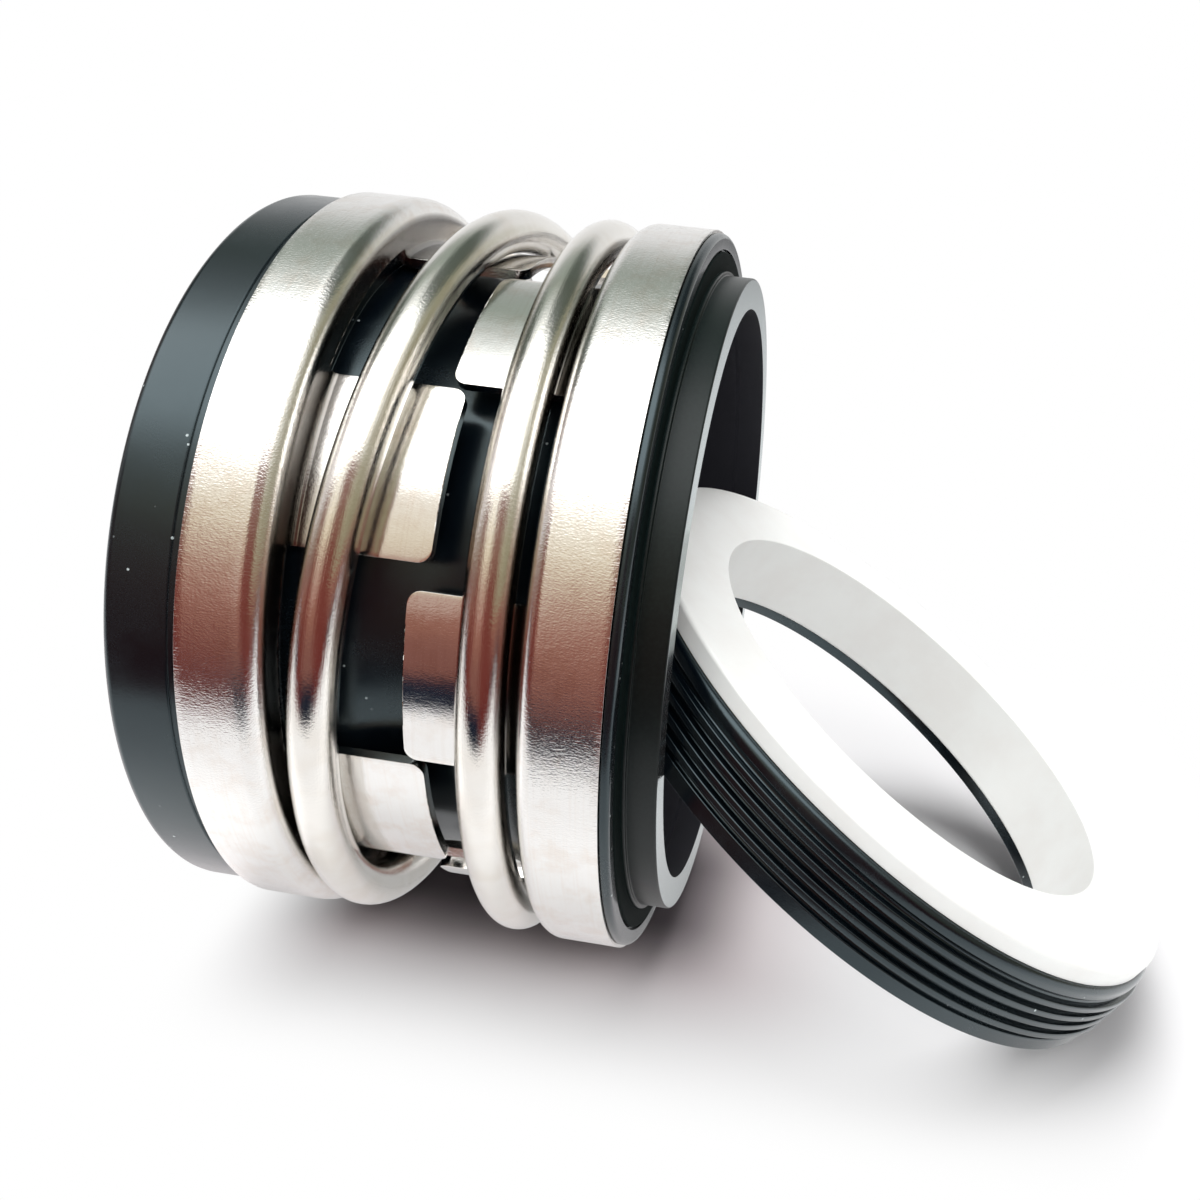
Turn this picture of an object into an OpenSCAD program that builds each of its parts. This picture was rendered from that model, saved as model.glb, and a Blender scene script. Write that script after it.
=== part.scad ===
// Component mechanical seal: a rotary head with a rubber bellows and one coil spring, and its stationary seat.
// The head lies on its side along X, with its tail face at x = 0 and its nose towards +X.
// The seat leans on the nose and stands on the surface that the head's shells lie on.

/* [Shaft] */
// Diameter of the shaft that the seal is made for
shaft_d = 50; // [46:0.5:52]

/* [Shells] */
// Outer diameter of the drive band and of the retainer
shell_od = 75; // [72:0.5:82]
// Thickness of the sheet that both shells and their lugs are pressed from
sheet = 1; // [0.7:0.1:1.2]
// Length of the drive band's flat cylinder
band_flat = 5.1; // [4:0.1:8]
// Edge break on the shells' open ends
sheet_edge = 0.2; // [0.1:0.05:0.3]
// Outer radius of the drive band's shoulder
band_corner = 2.1; // [1.5:0.1:2.6]
// Length of the retainer's flat cylinder
retainer_flat = 5.6; // [4:0.1:8]
// Outer radius of the retainer's corner
retainer_corner = 1.8; // [1.3:0.1:2.2]
// Free length of the spring between the two shells' end walls
spring_space = 21.5; // [20:0.1:26]

/* [Lugs] */
// Number of lugs on each shell
lug_count = 6; // [5:1:6]
// Angle that one lug takes up round the axis
lug_angle = 27.5; // [20:0.5:27.5]
// Angle of play on the driving side of each lug
lug_play = 1; // [1:0.5:2.5]
// Angle of the first drive band lug's lower edge, up from the near side
lug_from = 17.5; // [0:0.5:59]
// Length of the drive band's lugs from its end wall
band_lug = 12.2; // [9:0.1:12.2]
// Length of the retainer's lugs from its end wall
retainer_lug = 10.9; // [9:0.1:13]
// Corner radius at the lugs' tips
lug_corner = 1.2; // [0.5:0.1:2]
// Inner bend radius where a lug leaves its end wall
lug_bend = 0.6; // [0.3:0.1:1]

/* [Coil spring] */
// Diameter of the spring's round wire
wire_d = 4.3; // [3.8:0.1:4.6]
// How much smaller the coil is than the shells, on the diameter
coil_drop = 0.2; // [0:0.1:1]
// Gap between the wire and the lugs that it runs over
wire_gap = 0.15; // [0.1:0.05:0.4]
// Closed part of each end, in turns
closed_turns = 0.46; // [0.3:0.01:0.6]
// Open part between the closed ends, in turns
open_turns = 1.14; // [1:0.01:1.2]
// Last part of the head end, where the wire runs on to the retainer, in turns
run_turns = 0.12; // [0.08:0.01:0.2]
// How far the wire runs on there
run_on = 1.1; // [0:0.1:1.5]
// Angle of the tail end's cut wire, up from the near side
coil_from = 113; // [0:1:359]

/* [Bellows] */
// How much smaller the tail collar is than the shells, on the diameter
collar_drop = 1.8; // [0:0.1:2.4]
// Length of the tail collar
collar_len = 5.9; // [4:0.1:8]
// Bare strip between the collar and the drive band
collar_strip = 1.1; // [0.8:0.1:2]
// Edge rounding of the collar
collar_round = 0.8; // [0.3:0.1:1.5]
// Length that grips the shaft
grip_len = 10.6; // [8:0.1:12]
// Wall of the convolution
fold_wall = 2; // [1.5:0.1:2.4]
// Depth of the convolution's fold
fold_depth = 1.8; // [1:0.1:2]
// Clearance from the convolution to the lugs
fold_gap = 0.4; // [0.3:0.1:0.8]
// Rubber behind the primary ring
back_rubber = 2.4; // [1.5:0.1:3]
// Rubber between the primary ring and the retainer
side_rubber = 1.1; // [0.8:0.1:1.6]
// Length of the front lip beyond the retainer
lip_len = 1; // [0.8:0.1:1.6]
// Step from the retainer's outside down to the front lip
lip_step = 0.3; // [0.1:0.1:0.6]
// Edge rounding of the front lip
lip_round = 0.6; // [0.2:0.1:0.8]
// Width of the groove between the front lip and the primary ring
lip_groove = 0.25; // [0.1:0.05:0.4]

/* [Primary ring] */
// Wall of the ring, from its bore to its outside
ring_wall = 5.4; // [5:0.1:6.2]
// Width of the nose's lapped face
nose_width = 3.1; // [2.5:0.1:4.4]
// Length of the nose beyond its flange
nose_len = 3.1; // [2:0.1:4]
// Relief step at the nose's base
nose_step = 0.4; // [0.2:0.1:0.6]
// Chamfer of the primary ring's outer edges
ring_edge = 0.25; // [0.1:0.05:0.4]

/* [Seat] */
// Clearance of the seat's bore round the shaft, on the diameter
seat_clearance = 1; // [0.6:0.1:2]
// Wall of the seat's body, from its bore to the cup
seat_wall = 7; // [6.4:0.1:7.4]
// How far the face flange stands out over the seat's body
seat_overhang = 2; // [1:0.1:2.4]
// Height of the face flange
seat_flange = 1.8; // [1.5:0.1:3]
// Full height of the seat
seat_height = 9.1; // [8:0.1:11]
// Edge rounding of the seat's face
seat_round = 0.4; // [0.2:0.1:0.8]

/* [Cup gasket] */
// Wall of the cup round the seat, over the ribs
cup_wall = 3; // [2.5:0.1:3.4]
// Height of the ribs above the smooth bands
rib_rise = 0.4; // [0:0.1:0.5]
// Rubber under the seat
cup_floor = 1.3; // [1:0.1:2]
// Clearance of the cup's hole round the seat's bore, on the diameter
cup_relief = 0.8; // [0.6:0.1:2]
// Number of ribs between the lip and the foot band
rib_count = 4; // [2:1:5]
// Height of the smooth band at the cup's lip
lip_band = 1.3; // [0.8:0.1:1.8]
// Height of the smooth band at the cup's foot
foot_band = 1.5; // [1:0.1:2]
// Depth of the grooves between the ribs
groove_depth = 0.8; // [0.5:0.1:1.2]

/* [How the seat leans] */
// Angle between the seat's face and the surface it stands on
lean = 33.3; // [30:0.1:38]
// Gap left where the leaning cup meets the nose
rest_gap = 0.02; // [0.02:0.01:0.1]

/* [Hidden] */
$fn = 96;
// Gap between the rubber and the pieces that slide with the nose
slip = 0.05;
// How far the primary ring's flange stands out of the front lip
proud = 0.1;
// A cut runs this far past the surface it opens
past = 1;

// Radii round the shaft axis
shaft_r = shaft_d / 2;
shell_r = shell_od / 2;
lining_r = shell_r - sheet;
collar_r = (shell_od - collar_drop) / 2;
wire_r = wire_d / 2;
coil_r = (shell_od - coil_drop) / 2 - wire_r;
lug_r = coil_r - wire_r - wire_gap;
wall_hole_r = lug_r + 1.5 * lug_bend;
coil_turns = 2 * closed_turns + open_turns;
sleeve_r = lug_r - sheet - fold_gap;
sleeve_bore_r = sleeve_r - fold_wall;
ring_r = lining_r - side_rubber;
nose_bore_r = ring_r - ring_wall;
nose_r = nose_bore_r + nose_width;

// Stations along the shaft axis
band_start = collar_len + collar_strip;
band_shoulder = band_start + band_flat;
band_wall = band_shoulder + band_corner;
retainer_wall = band_wall + spring_space;
retainer_start = retainer_wall + retainer_corner;
retainer_end = retainer_start + retainer_flat;
flange_face = retainer_end + lip_len;
nose_face = flange_face + nose_len;
ring_back = retainer_wall + sheet + back_rubber;
fold_from = band_wall - sheet;
fold_to = retainer_wall + sheet + slip;

// Seat sizes, measured up from the cup's foot along the seat's own axis
seat_bore_r = (shaft_d + seat_clearance) / 2;
body_r = seat_bore_r + seat_wall;
seat_r = body_r + seat_overhang;
cup_r = body_r + cup_wall;
band_r = cup_r - rib_rise;
hole_r = seat_bore_r + cup_relief / 2;
seat_top = cup_floor + seat_height;
cup_top = seat_top - seat_flange;
groove_w = (cup_top - lip_band - foot_band) / (2 * rib_count + 1);

// Where the cup's foot edge stands on the surface and touches the edge of the nose's bore.
// s is 1 - cos(t), with t the angle round the foot edge from its lowest point to the contact.
touch_r = nose_bore_r - rest_gap;
foot_drop = band_r * cos(lean);
foot_rise = band_r * sin(lean);
touch_a = foot_rise ^ 2 - band_r ^ 2;
touch_b = 2 * band_r ^ 2 - 2 * shell_r * foot_rise;
touch_c = shell_r ^ 2 - touch_r ^ 2;
touch_s = (-touch_b - sqrt(touch_b ^ 2 - 4 * touch_a * touch_c)) / (2 * touch_a);
foot_x = nose_face + foot_drop * (touch_s - 1);
foot_z = foot_rise - shell_r;

// Turns a section drawn as [radius, station] into a solid round the X axis
module about_shaft() {
    rotate([90, 0, 90]) rotate_extrude() children();
}

// Turns its children about the X axis, by an angle up from the near side
module at_angle(angle) {
    rotate([-angle, 0, 0]) children();
}

// Rectangle from one corner to the opposite one, with the first corner rounded
module round_corner(corner, opposite, radius) {
    size = opposite - corner;
    toward = [sign(size[0]), sign(size[1])];
    difference() {
        translate([min(corner[0], opposite[0]), min(corner[1], opposite[1])])
            square([abs(size[0]), abs(size[1])]);
        difference() {
            translate(corner) square(2 * radius, center = true);
            translate(corner + toward * radius) circle(r = radius);
        }
    }
}

// What the edge break takes off both corners of a shell's open end
module open_edge(length) {
    for (edge = [[shell_r, -1], [lining_r, 1]])
        difference() {
            translate([edge[0], -length]) square(2 * sheet_edge, center = true);
            translate([edge[0] + edge[1] * sheet_edge, sheet_edge - length]) circle(r = sheet_edge);
        }
}

// Section of a shell: a flat cylinder open at one end, whose corner turns in to an end wall at x = 0
module shell_section(flat, corner) {
    difference() {
        round_corner([shell_r, 0], [wall_hole_r, -flat - corner], corner);
        round_corner([lining_r, -sheet], [wall_hole_r - past, -flat - corner - past], corner - sheet);
        open_edge(flat + corner);
    }
}

// Section of a lug: from the end wall round a bend and out along the axis
module lug_section(length) {
    difference() {
        round_corner([lug_r - sheet, -sheet], [lug_r + 2 * lug_bend, length], lug_bend + sheet);
        round_corner([lug_r, 0], [shell_r, length + past], lug_bend);
    }
}

// Outline of a lug, seen from outside: straight sides and two round corners at its tip
module lug_outline(length) {
    width = 2 * lug_r * sin(lug_angle / 2);
    for (side = [-1, 1])
        round_corner([length, side * width / 2], [-sheet - past, -side * past], lug_corner);
}

module lug(length) {
    intersection() {
        about_shaft() lug_section(length);
        rotate([90, 0, 0]) linear_extrude(height = shell_r) lug_outline(length);
    }
}

// A pressed shell with its ring of lugs, open towards -X
module shell(flat, corner, lug_length, first_angle) {
    union() {
        about_shaft() shell_section(flat, corner);
        for (i = [0 : lug_count - 1])
            at_angle(first_angle + i * 360 / lug_count) lug(lug_length);
    }
}

module drive_band() {
    color("silver")
        translate([band_wall, 0, 0])
            shell(band_flat, band_corner, band_lug, lug_from + lug_angle / 2);
}

module retainer() {
    color("silver")
        translate([retainer_wall, 0, 0]) mirror([1, 0, 0])
            shell(retainer_flat, retainer_corner, retainer_lug, lug_from + lug_angle * 1.5 + lug_play);
}

// Share of the spring's rise after a share of its open part: a pitch that grows and fades
function coil_ramp(t) = t < 0.25 ? t * t / 0.375 : t > 0.75 ? 1 - (1 - t) * (1 - t) / 0.375 : (t - 0.125) / 0.75;

// Station of the wire's centre after some turns: closed ends, of which the head end runs on at its last part
function coil_station(turn) =
    band_wall + wire_r
        + (spring_space - wire_d - run_on) * coil_ramp(min(max((turn - closed_turns) / open_turns, 0), 1))
        + run_on * max(1 - (coil_turns - turn) / run_turns, 0) ^ 2;

module coil_spring() {
    sides = 16;
    rings = ceil(coil_turns * 36);
    points = [for (i = [0 : rings]) let (turn = i * coil_turns / rings, angle = coil_from + 360 * turn)
        for (j = [0 : sides - 1]) let (r = coil_r + wire_r * cos(360 * j / sides))
            [coil_station(turn) + wire_r * sin(360 * j / sides), -r * cos(angle), r * sin(angle)]];
    walls = [for (i = [0 : rings - 1], j = [0 : sides - 1]) let (k = (j + 1) % sides)
        [i * sides + j, i * sides + k, (i + 1) * sides + k, (i + 1) * sides + j]];
    first = [for (j = [0 : sides - 1]) sides - 1 - j];
    last = [for (j = [0 : sides - 1]) rings * sides + j];
    color("gainsboro") polyhedron(points, concat([first, last], walls), convexity = 6);
}

// Outer radius of the bellows along its fold, from the drive band's end wall to the retainer's
function fold_r(u) = sleeve_r - fold_depth * (1 - cos(360 * u)) / 2;

// Tail of the bellows: the collar, the lining of the drive band and the grip on the shaft
module tail_section() {
    grip_end = grip_len + sleeve_bore_r - shaft_r;
    difference() {
        union() {
            round_corner([collar_r, 0], [shaft_r, collar_len], collar_round);
            round_corner([lining_r, fold_from], [shaft_r, collar_len / 2], band_corner - sheet);
            translate([shaft_r, collar_len]) square([sleeve_bore_r - shaft_r + fold_wall / 2, grip_end - collar_len]);
        }
        polygon([[shaft_r, grip_len], [sleeve_bore_r, grip_end], [sleeve_bore_r, grip_end + past],
            [shaft_r - past, grip_end + past], [shaft_r - past, grip_len]]);
    }
}

// Thin wall of the bellows, with its one shallow fold
module fold_section() {
    steps = 24;
    fold = [for (i = [0 : steps]) [fold_r(i / steps), fold_from + (fold_to - fold_from) * i / steps]];
    lining = [for (i = [steps : -1 : 0]) fold[i] - [fold_wall, 0]];
    polygon(concat([[sleeve_r, fold_from - past]], fold, [[sleeve_r, fold_to + past]],
        [[sleeve_bore_r, fold_to + past]], lining, [[sleeve_bore_r, fold_from - past]]));
}

// Head of the bellows: the pocket that holds the primary ring, and the lip round its flange
module head_section() {
    lip_face = flange_face - proud;
    difference() {
        union() {
            round_corner([lining_r - slip, fold_to], [sleeve_bore_r, retainer_end + lip_len / 2],
                retainer_corner - sheet);
            round_corner([shell_r - lip_step, lip_face], [ring_r, retainer_end + slip], lip_round);
        }
        translate([sleeve_bore_r - past, ring_back - slip])
            square([ring_r + slip - sleeve_bore_r + past, flange_face - ring_back + past]);
        translate([ring_r, lip_face - lip_len / 2]) square([lip_groove, lip_len]);
    }
}

module bellows() {
    color([0.07, 0.07, 0.08]) about_shaft() {
        tail_section();
        fold_section();
        head_section();
    }
}

module primary_ring() {
    color([0.16, 0.18, 0.18]) about_shaft() polygon([
        [nose_bore_r, ring_back],
        [ring_r - ring_edge, ring_back],
        [ring_r, ring_back + ring_edge],
        [ring_r, flange_face - ring_edge],
        [ring_r - ring_edge, flange_face],
        [nose_r + nose_step, flange_face],
        [nose_r + nose_step, flange_face + nose_step],
        [nose_r, flange_face + nose_step],
        [nose_r, nose_face - ring_edge],
        [nose_r - ring_edge, nose_face],
        [nose_bore_r, nose_face],
    ]);
}

// Places the seat and its cup: their axis starts at the cup's foot and points up and away from the nose
module leaning() {
    translate([foot_x, 0, foot_z]) rotate([0, lean, 0]) children();
}

module seat_ring() {
    color("whitesmoke") leaning() rotate_extrude() {
        round_corner([seat_r, seat_top], [seat_bore_r, cup_top], seat_round);
        round_corner([body_r, cup_floor], [seat_bore_r, seat_top - seat_flange / 2], seat_round);
    }
}

// Grooves round the cup, with round bottoms
module groove_sections() {
    for (i = [0 : rib_count])
        translate([cup_r - groove_depth + groove_w / 2, foot_band + groove_w * (2 * i + 0.5)]) {
            circle(d = groove_w);
            translate([0, -groove_w / 2]) square([groove_depth + past, groove_w]);
        }
}

module cup_gasket() {
    ribs_top = cup_top - lip_band;
    color([0.05, 0.05, 0.06]) leaning() rotate_extrude() difference() {
        union() {
            translate([hole_r, 0]) square([band_r - hole_r, cup_top / 2]);
            translate([hole_r, foot_band]) square([cup_r - hole_r, ribs_top - foot_band]);
            round_corner([band_r, cup_top], [body_r, cup_top / 2], lip_band / 2);
        }
        round_corner([body_r, cup_floor], [hole_r - past, cup_top + past], seat_round);
        groove_sections();
    }
}

bellows();
drive_band();
coil_spring();
retainer();
primary_ring();
seat_ring();
cup_gasket();
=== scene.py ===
"""Dresses a component mechanical seal for its picture, in the frame of its solid model.

The head lies along X with its tail face at x = 0, and the white seat leans on its nose.
Every length is in metres unless its name says otherwise.
"""

import enum
import logging
import math
from collections.abc import Iterable, Sequence
from dataclasses import dataclass, field
from typing import Any, ClassVar, Union

import bpy
import numpy as np
from mathutils import Matrix, Vector


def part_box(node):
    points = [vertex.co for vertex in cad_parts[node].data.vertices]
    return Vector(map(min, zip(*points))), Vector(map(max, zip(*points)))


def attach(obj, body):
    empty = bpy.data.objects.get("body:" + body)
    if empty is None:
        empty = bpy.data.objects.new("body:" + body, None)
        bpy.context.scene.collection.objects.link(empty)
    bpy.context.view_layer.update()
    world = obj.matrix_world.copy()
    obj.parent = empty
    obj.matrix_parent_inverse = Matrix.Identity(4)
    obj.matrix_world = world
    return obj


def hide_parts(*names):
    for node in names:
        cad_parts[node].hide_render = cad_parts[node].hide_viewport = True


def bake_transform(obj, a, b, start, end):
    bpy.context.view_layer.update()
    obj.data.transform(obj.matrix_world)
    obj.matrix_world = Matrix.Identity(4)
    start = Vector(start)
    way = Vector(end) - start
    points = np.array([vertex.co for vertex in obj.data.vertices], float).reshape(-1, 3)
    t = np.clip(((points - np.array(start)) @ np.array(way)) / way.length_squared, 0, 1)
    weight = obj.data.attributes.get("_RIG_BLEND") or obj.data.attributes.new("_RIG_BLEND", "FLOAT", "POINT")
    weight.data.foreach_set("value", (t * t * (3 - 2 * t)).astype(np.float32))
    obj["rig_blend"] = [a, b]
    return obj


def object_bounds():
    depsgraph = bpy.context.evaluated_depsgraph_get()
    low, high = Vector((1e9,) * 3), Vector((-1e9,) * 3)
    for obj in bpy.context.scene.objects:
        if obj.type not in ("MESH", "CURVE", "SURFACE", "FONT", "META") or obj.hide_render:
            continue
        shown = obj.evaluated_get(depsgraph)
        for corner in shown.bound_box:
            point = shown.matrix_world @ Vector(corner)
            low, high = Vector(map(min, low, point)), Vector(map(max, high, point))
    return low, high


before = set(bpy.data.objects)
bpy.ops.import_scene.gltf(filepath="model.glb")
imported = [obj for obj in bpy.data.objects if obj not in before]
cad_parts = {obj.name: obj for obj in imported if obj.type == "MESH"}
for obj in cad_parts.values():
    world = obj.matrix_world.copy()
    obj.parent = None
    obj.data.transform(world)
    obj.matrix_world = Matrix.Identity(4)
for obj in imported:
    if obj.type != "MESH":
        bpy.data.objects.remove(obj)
cad_low, cad_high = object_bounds()

log = logging.getLogger("seal")

MM = 0.001
FULL_TURN = 2.0 * math.pi
AROUND = 480
SHARP_TURN = math.radians(50.0)

Colour = tuple[float, float, float]
Point = tuple[float, float, float]
Number = Union[float, "Signal"]
Modifier = tuple[str, str, dict[str, Any]]
RuleInputs = dict[str, tuple[str, Any]]

WHITE: Colour = (1.0, 1.0, 1.0)
WEIGHTED: Modifier = ("weights", "WEIGHTED_NORMAL", {"keep_sharp": True, "weight": 100})


class Slot(enum.Enum):
    """The record's material slots."""

    RUBBER = "rubber"
    PRESSED_STEEL = "pressed_steel"
    SPRING_STEEL = "spring_steel"
    CARBON = "carbon"
    CERAMIC = "ceramic"


class Body(enum.Enum):
    """The two bodies that the spring pushes apart."""

    DRIVE_END = "drive_end"
    SEAL_HEAD = "seal_head"


@dataclass(frozen=True)
class Signal:
    """A value in a node tree. Python's operators on it add Math nodes."""

    graph: "Graph"
    socket: bpy.types.NodeSocket

    def __add__(self, other: Number) -> "Signal":
        """This plus the other."""
        return self.graph.maths("ADD", self, other)

    def __radd__(self, other: Number) -> "Signal":
        """The other plus this."""
        return self.graph.maths("ADD", other, self)

    def __sub__(self, other: Number) -> "Signal":
        """This minus the other."""
        return self.graph.maths("SUBTRACT", self, other)

    def __rsub__(self, other: Number) -> "Signal":
        """The other minus this."""
        return self.graph.maths("SUBTRACT", other, self)

    def __mul__(self, other: Number) -> "Signal":
        """This times the other."""
        return self.graph.maths("MULTIPLY", self, other)

    def __rmul__(self, other: Number) -> "Signal":
        """The other times this."""
        return self.graph.maths("MULTIPLY", other, self)

    def __truediv__(self, other: Number) -> "Signal":
        """This over the other."""
        return self.graph.maths("DIVIDE", self, other)

    def __rtruediv__(self, other: Number) -> "Signal":
        """The other over this."""
        return self.graph.maths("DIVIDE", other, self)

    def __neg__(self) -> "Signal":
        """This with its sign turned."""
        return self.graph.maths("MULTIPLY", self, -1.0)

    def __abs__(self) -> "Signal":
        """This without its sign."""
        return self.graph.maths("ABSOLUTE", self)

    def clamped(self) -> "Signal":
        """This, kept between 0 and 1."""
        return self.graph.maths("MULTIPLY", self, 1.0, clamp=True)

    def ramp(self, low: float, high: float) -> "Signal":
        """A smooth step.

        Args:
            low: The value at which the step starts from 0.
            high: The value at which it reaches 1. It may be below low.

        Returns:
            The step, from 0 to 1.
        """
        first, last = (0.0, 1.0) if high > low else (1.0, 0.0)
        bounds = [self, min(low, high), max(low, high), first, last]
        return self.graph.signal(
            self.graph.node("ShaderNodeMapRange", {"interpolation_type": "SMOOTHSTEP"}, bounds)
        )


class Graph:
    """A node tree that is written as Python expressions."""

    def __init__(self, tree: bpy.types.NodeTree) -> None:
        """Starts on an empty tree.

        Args:
            tree: The tree, whose nodes are cleared.
        """
        self.tree = tree
        tree.nodes.clear()

    def node(
        self,
        kind: str,
        settings: dict[str, Any] | None = None,
        inputs: dict[Any, Any] | Sequence[Any] | None = None,
    ) -> bpy.types.Node:
        """Adds a node.

        Args:
            kind: The node's type.
            settings: Its properties, which are set first. "stops" is a colour ramp's list of
                (place, colour) pairs.
            inputs: What goes into its sockets, by name or number, or in order. A signal or a
                socket is linked, and any other value is set.

        Returns:
            The new node.
        """
        node = self.tree.nodes.new(kind)
        for name, value in (settings or {}).items():
            if name == "stops":
                self._set_stops(node.color_ramp, value)
            else:
                setattr(node, name, value)
        pairs = inputs.items() if isinstance(inputs, dict) else enumerate(inputs or [])
        for key, value in pairs:
            if isinstance(value, Signal):
                self.tree.links.new(value.socket, node.inputs[key])
            elif isinstance(value, bpy.types.NodeSocket):
                self.tree.links.new(value, node.inputs[key])
            elif value is not None:
                node.inputs[key].default_value = value
        return node

    @staticmethod
    def _set_stops(ramp: bpy.types.ColorRamp, stops: Sequence[tuple[float, Colour]]) -> None:
        """Fills a colour ramp with its stops.

        Args:
            ramp: The ramp, of which all but one element is dropped first.
            stops: Each stop's place, from 0 to 1, and its colour.
        """
        while len(ramp.elements) > 1:
            ramp.elements.remove(ramp.elements[-1])
        for index, (place, colour) in enumerate(stops):
            stop = ramp.elements[0] if index == 0 else ramp.elements.new(place)
            stop.position = place
            stop.color = (*colour, 1.0)

    def signal(self, node: bpy.types.Node, output: int | str = 0) -> Signal:
        """One output of a node as a signal."""
        return Signal(self, node.outputs[output])

    def maths(self, operation: str, *values: Number, clamp: bool = False) -> Signal:
        """A Math node on signals and numbers."""
        return self.signal(self.node("ShaderNodeMath", {"operation": operation, "use_clamp": clamp}, values))

    def vector(self, operation: str, *values: Any) -> Signal:
        """A Vector Math node on vectors or colours."""
        return self.signal(self.node("ShaderNodeVectorMath", {"operation": operation}, values))

    def scaled(self, colour: Signal, factor: float) -> Signal:
        """A colour times a number, which may take it past 1."""
        return self.vector("SCALE", colour, None, None, factor)

    def combine(self, x: Number, y: Number, z: Number) -> Signal:
        """A vector from its three parts."""
        return self.signal(self.node("ShaderNodeCombineXYZ", None, [x, y, z]))

    def split(self, vector: Signal) -> tuple[Signal, Signal, Signal]:
        """The three parts of a vector."""
        node = self.node("ShaderNodeSeparateXYZ", None, [vector])
        return self.signal(node, 0), self.signal(node, 1), self.signal(node, 2)

    def mix(self, share: Number, first: Any, second: Any) -> Signal:
        """A colour between two.

        Args:
            share: How much of the second shows, from 0 to 1.
            first: The colour at 0.
            second: The colour at 1.

        Returns:
            The mixed colour.
        """
        first, second = (with_alpha(value) for value in (first, second))
        node = self.node("ShaderNodeMix", {"data_type": "RGBA"}, {0: share, 6: first, 7: second})
        return self.signal(node, 2)

    def noise(self, place: Signal, scale: float, detail: float = 2.0, roughness: float = 0.5) -> Signal:
        """Soft random variation from 0 to 1.

        Args:
            place: Where on the piece.
            scale: Blotches to the metre.
            detail: How many finer layers are added.
            roughness: How strong the finer layers are.

        Returns:
            The variation, mostly between 0.3 and 0.7.
        """
        inputs = {"Vector": place, "Scale": scale, "Detail": detail, "Roughness": roughness}
        return self.signal(self.node("ShaderNodeTexNoise", None, inputs))

    def bump(self, height: Signal, depth: float, contact_shadow_share: Signal | None = None) -> Signal:
        """A bumped normal.

        Args:
            height: The relief, from 0 to 1.
            depth: What a height of 1 stands for.
            contact_shadow_share: A normal that this bump is added to.

        Returns:
            The normal.
        """
        inputs = {"Strength": 1.0, "Distance": depth, "Height": height, "Normal": contact_shadow_share}
        return self.signal(self.node("ShaderNodeBump", None, inputs))

    def first_mirror(self, rays: bpy.types.Node) -> Signal:
        """1 for a ray that comes off a shiny surface and has met no dull one before, and else 0.

        Args:
            rays: The tree's Light Path node.

        Returns:
            A share that keeps what it is used on to the things that mirrors show.
        """
        return self.signal(rays, "Is Glossy Ray") * (1.0 - self.signal(rays, "Diffuse Depth")).clamped()


def with_alpha(value: Any) -> Any:
    """A plain colour with its alpha added; anything else as it is."""
    return (*value, 1.0) if isinstance(value, tuple) and len(value) == 3 else value


@dataclass(frozen=True)
class Finish:
    """A surface: its plain values, and a method that adds what varies over it."""

    slot: Slot
    colour: Colour
    roughness: float
    metallic: float = 0.0
    specular: float = 0.5
    glint: Colour = WHITE
    coat_roughness: float = 0.03

    def build(self) -> bpy.types.Material:
        """Makes the material.

        Returns:
            A new material with this finish.
        """
        material = bpy.data.materials.new(self.slot.value + "_" + type(self).__name__.lower())
        material.use_nodes = True
        graph = Graph(material.node_tree)
        shader = graph.node(
            "ShaderNodeBsdfPrincipled",
            None,
            {
                "Base Color": with_alpha(self.colour),
                "Roughness": self.roughness,
                "Metallic": self.metallic,
                "Specular IOR Level": self.specular,
                "Specular Tint": with_alpha(self.glint),
                "Coat Roughness": self.coat_roughness,
            },
        )
        graph.node("ShaderNodeOutputMaterial", None, [shader.outputs[0]])
        place = graph.signal(graph.node("ShaderNodeTexCoord"), "Object")
        for name, value in self.dress(graph, place).items():
            graph.tree.links.new(value.socket, shader.inputs[name])
        return material

    def dress(self, graph: Graph, place: Signal) -> dict[str, Signal]:
        """Adds what varies over the surface.

        Args:
            graph: The material's tree.
            place: The point on the piece, in metres.

        Returns:
            The shader's inputs that vary, by name.
        """
        return {}


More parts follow.
